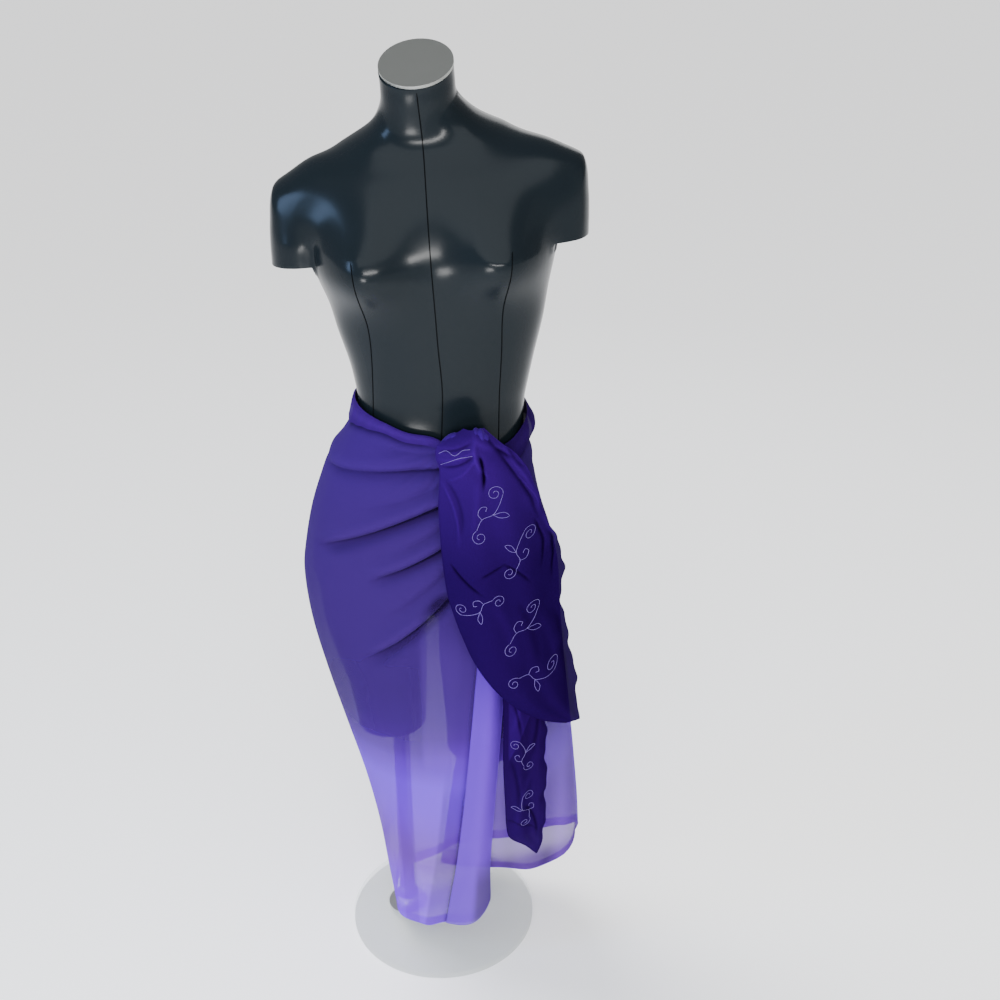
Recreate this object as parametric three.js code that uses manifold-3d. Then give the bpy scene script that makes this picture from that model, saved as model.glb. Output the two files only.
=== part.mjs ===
// A sheer wrap sarong tied in a knot at the front, dressed on a headless torso form that stands on a
// rod and a round glass base. Millimetres, +Z up, front towards -Y, origin under the base's centre.
import * as THREE from "three";
import { mergeVertices } from "three/addons/utils/BufferGeometryUtils.js";
import Module from "manifold-3d";

const wasm = await Module();
wasm.setup();

// ---------------------------------------------------------------- driving dimensions

const CLOTH = 1.2; // wall of every single layer of cloth
const SEAT = 0.4; // gap where two pieces touch

const BASE = { radius: 150, height: 10 };
const COLLAR = { radius: 32, neckRadius: 19, flange: 5, height: 22 };
const ROD = { x: -60.5, y: 8, radius: 12.5, top: 430 };
const CAP = { x: -7, y: -8, z: 1364, radius: 46.5, thickness: 4, pitch: 29.5 };
const LEAN = 0.077; // how far the shoulder line climbs to the right, as a slope
const ROUNDNESS = 2.25; // superellipse power of the body's and the skirt's sections

// Sections of the trunk: height, centre, half width, depth to the front and to the back,
// the share of LEAN that the section has, and how far it is pitched forward, in degrees.
const TRUNK = [
  { z: 609, x: -4, y: 4, half: 52, front: 50, back: 60, lean: 0, pitch: 0 },
  { z: 621, x: -5, y: 4, half: 118, front: 75, back: 91, lean: 0, pitch: 0 },
  { z: 646, x: -6, y: 4, half: 163, front: 98, back: 112, lean: 0, pitch: 0 },
  { z: 685, x: -7, y: 4, half: 171, front: 105, back: 119, lean: 0, pitch: 0 },
  { z: 760, x: -9, y: 2, half: 154, front: 101, back: 106, lean: 0, pitch: 0 },
  { z: 830, x: 0.5, y: 0, half: 133, front: 92, back: 88, lean: 0, pitch: 0 },
  { z: 880, x: 9, y: 0, half: 120, front: 84, back: 77, lean: 0, pitch: 0 },
  { z: 930, x: 14.5, y: 0, half: 115, front: 78, back: 73, lean: 0.15, pitch: 0 },
  { z: 980, x: 16.5, y: 1, half: 122, front: 83, back: 78, lean: 0.4, pitch: 0 },
  { z: 1040, x: 15.5, y: 3, half: 137, front: 92, back: 87, lean: 0.7, pitch: 0 },
  { z: 1080, x: 14, y: 5, half: 145, front: 98, back: 90, lean: 0.9, pitch: 0 },
  { z: 1130, x: 10, y: 8, half: 159, front: 104, back: 92, lean: 1, pitch: 0 },
  { z: 1170, x: 9, y: 10, half: 164, front: 99, back: 90, lean: 1, pitch: 0 },
  { z: 1205, x: 7, y: 12, half: 168, front: 89, back: 84, lean: 1, pitch: 0 },
  { z: 1235, x: 6, y: 14, half: 167, front: 76, back: 75, lean: 1, pitch: 2 },
  { z: 1258, x: 7, y: 14, half: 147, front: 63, back: 65, lean: 1, pitch: 5 },
  { z: 1277, x: 6, y: 12, half: 108, front: 53, back: 56, lean: 1, pitch: 9 },
  { z: 1295, x: 2, y: 9, half: 71, front: 48, back: 51, lean: 1, pitch: 13 },
  { z: 1320, x: -5, y: 3, half: 49, front: 46, back: 47, lean: 1, pitch: 20 },
  { z: 1343, x: -6, y: -3, half: 46, front: 46, back: 46, lean: 1, pitch: 26 },
  { z: 1361.2, x: -7.2, y: -6.8, half: 46, front: 46, back: 46, lean: 1, pitch: 29.5 },
];
const BUST = { x: 94, z: 1132, shift: 12, out: 36, wide: 54, above: 64, below: 46 };

// Sections of one arm stub, mirrored about the trunk's middle: height, distance out, half sizes.
const ARM_STUB = [
  { z: 1268, out: 121, half: 28, depth: 26 },
  { z: 1254, out: 136, half: 44, depth: 42 },
  { z: 1230, out: 147, half: 52, depth: 52 },
  { z: 1190, out: 154, half: 51, depth: 55 },
  { z: 1160, out: 157, half: 49.5, depth: 55 },
  { z: 1136, out: 158.5, half: 48, depth: 53 },
];
const ARM = { x: 3.5, y: 10, lean: 0.1 };

// Sections of the two thigh stumps, from the hip down. The left one carries the rod.
const THIGH_LEFT = [
  { z: 660, x: -88, y: 2, half: 80, depth: 88 },
  { z: 600, x: -89, y: 4, half: 79, depth: 85 },
  { z: 540, x: -85, y: 5, half: 70, depth: 78 },
  { z: 480, x: -77, y: 6, half: 61, depth: 69 },
  { z: 440, x: -74.5, y: 6.5, half: 57, depth: 64 },
  { z: 406, x: -72.5, y: 7, half: 54, depth: 60 },
  { z: 396, x: -72.5, y: 7, half: 47.5, depth: 53 },
];
const THIGH_RIGHT = [
  { z: 660, x: 82, y: -4, half: 78, depth: 88 },
  { z: 600, x: 80, y: -12, half: 77, depth: 84 },
  { z: 540, x: 76.5, y: -27, half: 73, depth: 77 },
  { z: 480, x: 75, y: -43, half: 66, depth: 70 },
  { z: 440, x: 74.5, y: -51, half: 62, depth: 65 },
  { z: 409, x: 73, y: -57, half: 59.5, depth: 61 },
  { z: 399, x: 73, y: -57, half: 52, depth: 53 },
];

// Outer face of the wound skirt: how far each level reaches to each side.
const SKIRT = [
  { z: 40, left: -79, right: 219, front: 101, back: 96 },
  { z: 130, left: -89, right: 222, front: 113, back: 98 },
  { z: 230, left: -100, right: 219, front: 130, back: 101 },
  { z: 330, left: -118, right: 211, front: 142, back: 106 },
  { z: 430, left: -143, right: 201, front: 147, back: 113 },
  { z: 520, left: -166, right: 191, front: 140, back: 122 },
  { z: 600, left: -183, right: 184, front: 129, back: 130 },
  { z: 674, left: -189, right: 179, front: 121, back: 133 },
  { z: 720, left: -183, right: 169, front: 117, back: 127 },
  { z: 770, left: -172, right: 154, front: 113, back: 119 },
  { z: 810, left: -159, right: 145, front: 108, back: 110 },
  { z: 850, left: -143, right: 139.5, front: 101, back: 99 },
  { z: 900, left: -112, right: 132.5, front: 92, back: 81 },
  { z: 950, left: -99.6, right: 132, front: 88, back: 77.5 },
];

// The skirt's top and bottom edges by the angle round the body: 0 is the front, 90 the wearer's
// right, 180 the back, 270 the wearer's left, and 360 the front again, one layer further in.
const EDGES = [
  { angle: -25, top: 886, hem: 150 },
  { angle: -6, top: 896, hem: 134 },
  { angle: 2, top: 906, hem: 98 },
  { angle: 17, top: 911, hem: 72 },
  { angle: 34, top: 920, hem: 52 },
  { angle: 64, top: 930, hem: 40 },
  { angle: 90, top: 936, hem: 40 },
  { angle: 130, top: 937, hem: 45 },
  { angle: 180, top: 938, hem: 66 },
  { angle: 225, top: 930, hem: 114 },
  { angle: 262, top: 914, hem: 174 },
  { angle: 278, top: 908, hem: 198 },
  { angle: 295, top: 898, hem: 202 },
  { angle: 310, top: 888, hem: 182 },
  { angle: 325, top: 882, hem: 165 },
  { angle: 352, top: 884, hem: 190 },
  { angle: 420, top: 892, hem: 196 },
];

// The front pleat that hangs under the knot: its groove on the left, its fold on the right, and
// where the layer wound beneath it ends.
const PLEAT = [
  { z: 40, groove: 4, fold: 78, under: -15 },
  { z: 134, groove: 17, fold: 80, under: -5 },
  { z: 209, groove: 27, fold: 80, under: 3 },
  { z: 324, groove: 39, fold: 86, under: 17 },
  { z: 425, groove: 48, fold: 93, under: 32 },
  { z: 531, groove: 57, fold: 100, under: 48 },
  { z: 601, groove: 62, fold: 102, under: 58 },
  { z: 760, groove: 54, fold: 102, under: 62 },
  { z: 960, groove: 40, fold: 96, under: 60 },
];
const PLEAT_RELIEF = { top: 690, bulge: 12, groove: 3, width: 14, turn: 8 };
const UNDERLAP = { start: 308, layer: 5.6, recess: 17, recessTop: 350 };

// Folds drawn up to the knot, across the wearer's right hip. x and z give the two ends of each
// trough as seen from the front, sag how far it hangs below a straight line between them.
const HIP_FOLDS = [
  { x0: 12, z0: 863, x1: -150, z1: 842, sag: -2, depth: 4, width: 12 },
  { x0: 12, z0: 809, x1: -165, z1: 731, sag: 0, depth: 8, width: 14 },
  { x0: 16, z0: 749, x1: -95, z1: 697, sag: 5, depth: 6, width: 14 },
  { x0: 20, z0: 668, x1: -105, z1: 574, sag: 10, depth: 9, width: 16 },
];
const HIP_SWELL = 0.55; // height of the roll above each trough, as a share of its depth

// Soft upright flutes in the hanging cloth, round the back and the wearer's left.
const FLUTES = [
  { angle: 62, width: 11, out: 4, top: 430 },
  { angle: 118, width: 13, out: 6, top: 460 },
  { angle: 146, width: 12, out: -5, top: 420 },
  { angle: 172, width: 14, out: 7, top: 480 },
  { angle: 200, width: 12, out: -6, top: 430 },
  { angle: 226, width: 13, out: 7, top: 470 },
  { angle: 252, width: 11, out: -5, top: 400 },
  { angle: 300, width: 10, out: 9, top: 420 },
  { angle: 322, width: 9, out: -8, top: 400 },
];

// The top edge turned down over the outside of the skirt.
const WAIST_FOLD = { from: 3, to: 314, height: 30, nearKnot: 12, lift: 1, flare: 1.6, rise: 2.2 };
const WAIST_BULGES = [
  { angle: 90, width: 14, out: 1 },
  { angle: 270, width: 14, out: 4 },
];

// The knot: a wide roll of gathered cloth and the narrow one drawn over it. turn leans each one
// to the right in degrees.
const KNOT_LOBES = [
  { x: 37, y: -119.3, z: 901, wide: 25, depth: 22, tall: 29, turn: -18, pleats: 5, pleat: 0.07 },
  { x: 61, y: -117.4, z: 902, wide: 15, depth: 20, tall: 32, turn: 9, pleats: 3, pleat: 0.08 },
];

// The wide front tail and the narrow tail behind it, top to bottom. left and right are their
// edges, lift raises the right edge, and yLeft, yMid and yRight say how far forward the left edge,
// the middle and the right edge lie.
const TAIL_FRONT = [
  { z: 893, left: 32, right: 84, lift: 6, yLeft: -95.6, yMid: -96, yRight: -95.6 },
  { z: 878, left: 26, right: 91, lift: 14, yLeft: -97.5, yMid: -98.3, yRight: -97.3 },
  { z: 862, left: 22, right: 103, lift: 19, yLeft: -110, yMid: -114, yRight: -106 },
  { z: 838, left: 17.5, right: 124, lift: 17, yLeft: -130, yMid: -138, yRight: -110 },
  { z: 800, left: 17, right: 145, lift: 12, yLeft: -142, yMid: -153, yRight: -103 },
  { z: 755, left: 19, right: 168, lift: 6, yLeft: -148, yMid: -157, yRight: -82 },
  { z: 705, left: 25, right: 185, lift: 0, yLeft: -152, yMid: -159, yRight: -63 },
  { z: 675, left: 33, right: 180, lift: 0, yLeft: -155, yMid: -161, yRight: -70 },
  { z: 645, left: 43, right: 183, lift: 0, yLeft: -158, yMid: -162, yRight: -72 },
  { z: 601, left: 61, right: 190, lift: 0, yLeft: -161, yMid: -163, yRight: -76 },
  { z: 560, left: 88, right: 200, lift: 0, yLeft: -165, yMid: -162, yRight: -86 },
  { z: 525, left: 122, right: 204, lift: 0, yLeft: -163, yMid: -154, yRight: -94 },
  { z: 495, left: 157, right: 207, lift: 0, yLeft: -145, yMid: -132, yRight: -102 },
  { z: 470, left: 190, right: 211, lift: 0, yLeft: -117, yMid: -113, yRight: -107 },
];
const TAIL_BACK = [
  { z: 888, left: 40, right: 70, lift: 0, yLeft: -93.9, yMid: -94.2, yRight: -93.7 },
  { z: 850, left: 42, right: 84, lift: 0, yLeft: -108, yMid: -112, yRight: -107 },
  { z: 800, left: 44, right: 96, lift: 0, yLeft: -126, yMid: -132, yRight: -120 },
  { z: 700, left: 66, right: 128, lift: 0, yLeft: -137, yMid: -142, yRight: -124 },
  { z: 600, left: 92, right: 148, lift: 0, yLeft: -152, yMid: -146, yRight: -124 },
  { z: 520, left: 100, right: 158, lift: 0, yLeft: -154, yMid: -148, yRight: -128 },
  { z: 430, left: 100, right: 161, lift: 0, yLeft: -155, yMid: -150, yRight: -130 },
  { z: 350, left: 106, right: 162, lift: 0, yLeft: -153, yMid: -149, yRight: -130 },
  { z: 290, left: 113, right: 162, lift: 0, yLeft: -148, yMid: -145, yRight: -130 },
  { z: 248, left: 138, right: 160, lift: 0, yLeft: -140, yMid: -139, yRight: -134 },
];
const FRONT_WAVES = { count: 2.5, height: 5, from: 0.45 };
const BACK_WAVES = { count: 2, height: 5, from: 0.1 };

// ---------------------------------------------------------------- helpers

const radians = (degrees) => (degrees * Math.PI) / 180;
const mix = (a, b, t) => a + (b - a) * t;
const clamp01 = (t) => Math.min(1, Math.max(0, t));
const smooth = (from, to, value) => {
  const t = clamp01((value - from) / (to - from));
  return t * t * (3 - 2 * t);
};
const bell = (offset, width) => Math.exp(-((offset / width) ** 2));
const signedPower = (value, power) => Math.sign(value) * Math.abs(value) ** power;

// Reads every column of a table at one value of its key column, along a smooth curve.
function readTable(table, key, value) {
  const rows = table[0][key] > table[1][key] ? [...table].reverse() : table;
  const last = rows.length - 1;
  const wanted = Math.min(rows[last][key], Math.max(rows[0][key], value));
  let i = 0;
  while (i < last - 1 && wanted > rows[i + 1][key]) i += 1;
  const span = rows[i + 1][key] - rows[i][key];
  const t = (wanted - rows[i][key]) / span;
  const slope = (column, row) => {
    const before = rows[Math.max(0, row - 1)];
    const after = rows[Math.min(last, row + 1)];
    return (after[column] - before[column]) / (after[key] - before[key]);
  };
  const found = {};
  for (const column of Object.keys(rows[0])) {
    const start = rows[i][column];
    const end = rows[i + 1][column];
    const hermite =
      (2 * t ** 3 - 3 * t ** 2 + 1) * start +
      (t ** 3 - 2 * t ** 2 + t) * span * slope(column, i) +
      (-2 * t ** 3 + 3 * t ** 2) * end +
      (t ** 3 - t ** 2) * span * slope(column, i + 1);
    found[column] = hermite;
  }
  return found;
}

// A closed body through rings of points that run anticlockwise seen from the end of the stack.
function loft(rings) {
  const around = rings[0].length;
  const positions = [];
  const index = [];
  rings.forEach((ring) => ring.forEach((p) => positions.push(p.x, p.y, p.z)));
  for (let j = 0; j < rings.length - 1; j += 1) {
    for (let i = 0; i < around; i += 1) {
      const next = (i + 1) % around;
      const a = j * around + i;
      const b = j * around + next;
      index.push(a, b, b + around, a, b + around, a + around);
    }
  }
  const addCap = (ring, start, flip) => {
    const centre = ring.reduce((sum, p) => sum.add(p), new THREE.Vector3());
    centre.divideScalar(around);
    const middle = positions.length / 3;
    positions.push(centre.x, centre.y, centre.z);
    for (let i = 0; i < around; i += 1) {
      const next = (i + 1) % around;
      if (flip) index.push(middle, start + next, start + i);
      else index.push(middle, start + i, start + next);
    }
  };
  addCap(rings[0], 0, true);
  addCap(rings[rings.length - 1], (rings.length - 1) * around, false);
  return indexed(positions, index);
}

function indexed(positions, index) {
  const geometry = new THREE.BufferGeometry();
  geometry.setAttribute("position", new THREE.Float32BufferAttribute(positions, 3));
  geometry.setIndex(index);
  return geometry;
}

// A sheet of cloth as a closed wall. point(i, j) gives its outer face, with i running to the left
// seen from outside and j upwards, and the wall goes inwards from there.
function clothWall(columns, rows, point, thickness = CLOTH) {
  const outer = [];
  for (let j = 0; j < rows; j += 1) {
    for (let i = 0; i < columns; i += 1) outer.push(point(i, j));
  }
  const at = (i, j) => outer[j * columns + i];
  const inner = outer.map((p, n) => {
    const i = n % columns;
    const j = Math.floor(n / columns);
    const across = at(Math.max(0, i - 1), j).clone().sub(at(Math.min(columns - 1, i + 1), j));
    const up = at(i, Math.min(rows - 1, j + 1)).clone().sub(at(i, Math.max(0, j - 1)));
    return p.clone().sub(across.cross(up).normalize().multiplyScalar(thickness));
  });
  const positions = [...outer, ...inner].flatMap((p) => [p.x, p.y, p.z]);
  const index = [];
  const depth = outer.length;
  const quad = (a, b, c, d) => index.push(a, b, c, a, c, d);
  const id = (i, j) => j * columns + i;
  for (let j = 0; j < rows - 1; j += 1) {
    for (let i = 0; i < columns - 1; i += 1) {
      const [a, b, c, d] = [id(i, j), id(i + 1, j), id(i + 1, j + 1), id(i, j + 1)];
      quad(b, a, d, c);
      quad(depth + b, depth + c, depth + d, depth + a);
    }
  }
  for (let i = 0; i < columns - 1; i += 1) {
    const top = id(i, rows - 1);
    quad(i, i + 1, depth + i + 1, depth + i);
    quad(top + 1, top, depth + top, depth + top + 1);
  }
  for (let j = 0; j < rows - 1; j += 1) {
    const [low, high] = [id(0, j), id(0, j + 1)];
    const end = columns - 1;
    quad(high, low, depth + low, depth + high);
    quad(low + end, high + end, depth + high + end, depth + low + end);
  }
  return indexed(positions, index);
}

function asManifold(geometry) {
  const bare = geometry.clone();
  bare.deleteAttribute("normal");
  bare.deleteAttribute("uv");
  const merged = mergeVertices(bare, 1e-3);
  return new wasm.Manifold(
    new wasm.Mesh({
      numProp: 3,
      vertProperties: new Float32Array(merged.attributes.position.array),
      triVerts: new Uint32Array(merged.index.array),
    }),
  );
}

function asGeometry(manifold) {
  const mesh = manifold.getMesh();
  return indexed(Array.from(mesh.vertProperties), Array.from(mesh.triVerts));
}

// ---------------------------------------------------------------- the torso form

// One ring of a body: a superellipse, leaned to the side and pitched forward in its own plane.
function bodyRing(section, around) {
  const pitch = radians(section.pitch ?? 0);
  const ring = [];
  for (let i = 0; i < around; i += 1) {
    const angle = (2 * Math.PI * i) / around;
    const across = section.half * signedPower(Math.cos(angle), 2 / ROUNDNESS);
    const depth = Math.sin(angle) < 0 ? section.front : section.back;
    const along = depth * signedPower(Math.sin(angle), 2 / ROUNDNESS);
    const climb = along * Math.sin(pitch) + across * LEAN * (section.lean ?? 0);
    const x = section.x + across;
    ring.push(new THREE.Vector3(x, section.y + along * Math.cos(pitch), section.z + climb));
  }
  return ring;
}

function addBust(p) {
  for (const side of [-1, 1]) {
    const x = BUST.shift + side * BUST.x;
    const z = BUST.z + LEAN * (x - BUST.shift);
    const rise = p.z > z ? BUST.above : BUST.below;
    const facing = smooth(20, -60, p.y);
    p.y -= BUST.out * facing * bell(p.x - x, BUST.wide) * bell(p.z - z, rise);
  }
  return p;
}

function trunk() {
  const around = 36;
  const step = 18;
  const levels = [];
  const [first, last] = [TRUNK[0].z, TRUNK[TRUNK.length - 1].z];
  const count = Math.round((last - first) / step);
  for (let j = 0; j <= count; j += 1) levels.push(mix(first, last, j / count));
  return loft(levels.map((z) => bodyRing(readTable(TRUNK, "z", z), around).map(addBust)));
}

function armStub(side) {
  const rings = ARM_STUB.map((section) => {
    const x = ARM.x + side * section.out;
    const z = section.z + ARM.lean * side * section.out;
    const { half, depth } = section;
    return bodyRing({ x, y: ARM.y, z, half, front: depth, back: depth, lean: 1 }, 20);
  });
  return loft(rings.reverse());
}

function thigh(sections) {
  const rings = sections.map(({ z, x, y, half, depth }) =>
    bodyRing({ x, y, z, half, front: depth, back: depth }, 28),
  );
  return loft(rings.reverse());
}

function torsoForm() {
  const bore = new THREE.CylinderGeometry(ROD.radius + SEAT, ROD.radius + SEAT, 200, 32);
  bore.rotateX(Math.PI / 2);
  bore.translate(ROD.x, ROD.y, ROD.top + SEAT - 100);
  const body = [trunk(), armStub(-1), armStub(1), thigh(THIGH_LEFT), thigh(THIGH_RIGHT)]
    .map(asManifold)
    .reduce((sum, piece) => sum.add(piece));
  return asGeometry(body.subtract(asManifold(bore)));
}

// A flat disc that follows the neck's cut, as a round cover.
function neckCap() {
  const disc = new THREE.CylinderGeometry(CAP.radius, CAP.radius, CAP.thickness, 48);
  disc.rotateX(Math.PI / 2);
  return disc;
}

// ---------------------------------------------------------------- the stand

function base() {
  const disc = new THREE.CylinderGeometry(BASE.radius, BASE.radius, BASE.height, 72);
  disc.rotateX(Math.PI / 2);
  disc.translate(0, 0, BASE.height / 2);
  return disc;
}

function collar() {
  const inner = ROD.radius + SEAT;
  const profile = [
    [inner, 0],
    [COLLAR.radius, 0],
    [COLLAR.radius, COLLAR.flange],
    [COLLAR.neckRadius, COLLAR.flange + 3],
    [COLLAR.neckRadius, COLLAR.height],
    [inner, COLLAR.height],
    [inner, 0],
  ].map(([r, z]) => new THREE.Vector2(r, z));
  const ring = new THREE.LatheGeometry(profile, 32);
  ring.rotateX(Math.PI / 2);
  ring.translate(ROD.x, ROD.y, BASE.height + SEAT);
  return ring;
}

function rod() {
  const length = ROD.top - BASE.height - SEAT;
  const bar = new THREE.CylinderGeometry(ROD.radius, ROD.radius, length, 24);
  bar.rotateX(Math.PI / 2);
  bar.translate(ROD.x, ROD.y, BASE.height + SEAT + length / 2);
  return bar;
}

// ---------------------------------------------------------------- the wound cloth

// Angle round the skirt at which its front reaches a given x.
function angleAt(x, section) {
  const middle = (section.left + section.right) / 2;
  const half = (section.right - section.left) / 2;
  const share = Math.min(0.98, Math.max(-0.98, (x - middle) / half));
  return (-Math.asin(signedPower(share, ROUNDNESS / 2)) * 180) / Math.PI;
}

function hipFoldRelief(x, z) {
  let out = 0;
  for (const fold of HIP_FOLDS) {
    const t = (x - fold.x1) / (fold.x0 - fold.x1);
    const line = mix(fold.z1, fold.z0, t) - fold.sag * 4 * t * (1 - t);
    const reach = smooth(0, 0.4, t) * smooth(1.22, 1.02, t);
    const trough = bell(z - line, fold.width);
    const roll = bell(z - line - 2.2 * fold.width, 1.7 * fold.width);
    out += fold.depth * reach * (HIP_SWELL * roll - trough);
  }
  return out;
}

function fluteRelief(angle, z) {
  let out = 0;
  for (const flute of FLUTES) {
    out += flute.out * bell(angle - flute.angle, flute.width) * smooth(flute.top, 90, z);
  }
  return out;
}

// A point of the skirt's outer face. inset moves it inwards, as for the turned-down edge.
function skirtPoint(angle, z, inset = 0) {
  const section = readTable(SKIRT, "z", z);
  const middle = (section.left + section.right) / 2;
  const half = (section.right - section.left) / 2;
  const turn = radians(angle);
  const [side, forward] = [-Math.sin(turn), -Math.cos(turn)];
  const depth = forward < 0 ? section.front : section.back;
  const x = middle + half * signedPower(side, 2 / ROUNDNESS);
  const y = depth * signedPower(forward, 2 / ROUNDNESS);
  const normal = new THREE.Vector3(side * depth, forward * half, 0).normalize();

  const inner = smooth(UNDERLAP.start, UNDERLAP.start + 24, angle);
  const frontLeft = smooth(-75, -40, angle) * smooth(125, 95, angle);
  let out = -inset - UNDERLAP.layer * inner;
  out += frontLeft * hipFoldRelief(x, z) + fluteRelief(angle, z);
  const point = new THREE.Vector3(x, y, z).addScaledVector(normal, out);
  point.y += UNDERLAP.recess * smooth(268, 330, angle) * smooth(UNDERLAP.recessTop, 60, z);
  if (angle < 120) addPleat(point, z, readTable(PLEAT, "z", z));
  return point;
}

function addPleat(point, z, pleat) {
  const fade = smooth(PLEAT_RELIEF.top, PLEAT_RELIEF.top - 110, z);
  const t = (point.x - pleat.groove) / (pleat.fold - pleat.groove);
  const bulge = t > 0 ? Math.sin(Math.PI * Math.min(1, t) ** 1.4) : 0;
  const groove = bell(point.x - pleat.groove + 4, PLEAT_RELIEF.width);
  point.y += fade * (PLEAT_RELIEF.groove * groove - PLEAT_RELIEF.bulge * bulge);
  const room = smooth(UNDERLAP.recessTop, 60, z);
  point.y += PLEAT_RELIEF.turn * room * smooth(0.84, 1.06, t) ** 2;
}

const SKIRT_COLUMNS = 60;
const SKIRT_ROWS = 30;

function skirt() {
  return clothWall(SKIRT_COLUMNS, SKIRT_ROWS, (i, j) => {
    const share = i / (SKIRT_COLUMNS - 1);
    const upward = (j / (SKIRT_ROWS - 1)) ** 0.74;
    // Columns lie closest together at the front.
    const spread = share - 0.055 * Math.sin(2 * Math.PI * share);
    let angle = mix(-12, 356, spread);
    let z = 0;
    for (let pass = 0; pass < 4; pass += 1) {
      const edges = readTable(EDGES, "angle", angle);
      z = mix(edges.hem, edges.top, upward);
      const section = readTable(SKIRT, "z", z);
      const pleat = readTable(PLEAT, "z", z);
      angle = mix(angleAt(pleat.fold, section), 360 + angleAt(pleat.under, section), spread);
    }
    return skirtPoint(angle, z);
  });
}

// The strip of the top edge that is turned down over the outside.
function waistFold() {
  const columns = 54;
  const rows = 6;
  return clothWall(columns, rows, (i, j) => {
    const angle = mix(WAIST_FOLD.from, WAIST_FOLD.to, i / (columns - 1));
    const top = readTable(EDGES, "angle", angle).top + WAIST_FOLD.rise;
    const wide = smooth(25, 85, angle);
    const down = 1 - j / (rows - 1);
    const height = mix(WAIST_FOLD.nearKnot, WAIST_FOLD.height, wide);
    const z = top - height * down;
    let away = WAIST_FOLD.lift + CLOTH + WAIST_FOLD.flare * down * wide;
    for (const bulge of WAIST_BULGES) {
      away += bulge.out * bell(angle - bulge.angle, bulge.width) * Math.sin(Math.PI * down);
    }
    return skirtPoint(angle, z, -away);
  });
}

function knotLobe({ x, y, z, wide, depth, tall, turn, pleats, pleat }) {
  const around = 20;
  const count = 11;
  const rings = [];
  for (let j = 0; j <= count; j += 1) {
    const along = mix(-0.985, 0.985, j / count);
    const girth = Math.sqrt(1 - Math.abs(along) ** 2.6);
    const ring = [];
    for (let i = 0; i < around; i += 1) {
      const angle = (2 * Math.PI * i) / around;
      const gather = 1 + pleat * Math.sin(pleats * angle + 1.5 * along);
      const across = wide * girth * gather * Math.cos(angle);
      const out = depth * girth * gather * Math.sin(angle);
      const point = new THREE.Vector3(across, out, tall * along);
      ring.push(point.applyAxisAngle(new THREE.Vector3(0, 1, 0), radians(turn)));
    }
    rings.push(ring.map((point) => point.add(new THREE.Vector3(x, y, z))));
  }
  return loft(rings);
}

function knot() {
  return asGeometry(
    KNOT_LOBES.map(knotLobe)
      .map(asManifold)
      .reduce((sum, lobe) => sum.add(lobe)),
  );
}

// A hanging tail: across runs from its right edge to its left edge, up from its tip to the knot.
function tail(table, waves, columns, rows) {
  const [top, tip] = [table[0].z, table[table.length - 1].z];
  return clothWall(columns, rows, (i, j) => {
    const right = 1 - i / (columns - 1);
    const up = j / (rows - 1);
    const row = readTable(table, "z", mix(tip, top, up));
    const bow = 4 * right * (1 - right);
    const chord = mix(row.yLeft, row.yRight, right);
    const y = chord + bow * (row.yMid - (row.yLeft + row.yRight) / 2);
    const loose = smooth(waves.from - 0.4, waves.from + 0.4, right) * (1 - up ** 3);
    const room = smooth(15, 90, row.right - row.left);
    const ripple = waves.height * room * loose * Math.sin(2 * Math.PI * waves.count * right);
    const x = mix(row.left, row.right, right);
    return new THREE.Vector3(x, y + ripple, row.z + row.lift * right ** 2);
  });
}

// ---------------------------------------------------------------- materials and assembly

const material = (color, roughness, metalness) =>
  new THREE.MeshStandardMaterial({ color, roughness, metalness });
const formPlastic = material(0x2b353d, 0.25, 0);
const steel = material(0x7a7c79, 0.35, 1);
const glass = material(0xdfe9e8, 0.05, 0);
const violet = material(0x32208a, 0.8, 0);
const lavender = material(0x7d6bd0, 0.8, 0);

const root = new THREE.Group();

function add(name, geometry, finish) {
  const mesh = new THREE.Mesh(geometry, finish);
  mesh.name = name;
  root.add(mesh);
  return mesh;
}

add("torso_form", torsoForm(), formPlastic);
const cap = add("neck_cap", neckCap(), steel);
cap.rotation.set(radians(CAP.pitch), -Math.atan(LEAN), 0);
cap.position.set(CAP.x, CAP.y, CAP.z);
add("stand_base", base(), glass);
add("stand_collar", collar(), steel);
add("stand_rod", rod(), steel);
add("skirt_wrap", skirt(), lavender);
add("waist_fold", waistFold(), violet);
add("knot", knot(), violet);
add("tail_front", tail(TAIL_FRONT, FRONT_WAVES, 18, 22), violet);
add("tail_back", tail(TAIL_BACK, BACK_WAVES, 10, 18), violet);

export default root;
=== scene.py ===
"""A sheer wrap sarong, knotted at the front, on a glossy torso form with a rod and a round glass base.

Lengths in the tables are millimetres, as in the solids, and become metres when a mesh is made.
"""

import math

import bmesh
import bpy
import numpy as np
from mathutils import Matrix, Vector
from mathutils.bvhtree import BVHTree


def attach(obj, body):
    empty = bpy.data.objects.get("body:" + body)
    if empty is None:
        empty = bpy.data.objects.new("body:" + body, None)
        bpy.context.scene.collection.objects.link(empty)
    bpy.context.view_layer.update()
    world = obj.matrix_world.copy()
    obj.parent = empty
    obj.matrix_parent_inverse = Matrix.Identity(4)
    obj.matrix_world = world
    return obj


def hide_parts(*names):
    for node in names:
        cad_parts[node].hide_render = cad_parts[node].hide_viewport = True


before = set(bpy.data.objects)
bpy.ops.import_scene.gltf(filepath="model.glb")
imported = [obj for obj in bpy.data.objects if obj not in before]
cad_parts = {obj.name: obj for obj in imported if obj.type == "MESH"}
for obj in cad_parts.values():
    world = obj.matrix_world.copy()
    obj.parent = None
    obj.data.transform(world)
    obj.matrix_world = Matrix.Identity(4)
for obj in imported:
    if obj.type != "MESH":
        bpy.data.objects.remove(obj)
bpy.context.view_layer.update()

MM = 0.001

# ---------------- camera, light and floor

CAMERA = {"place": (0.095, -1.601, 1.5525), "tilt": 64.0, "lens": 45.0, "sensor": 36.0}

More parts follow.
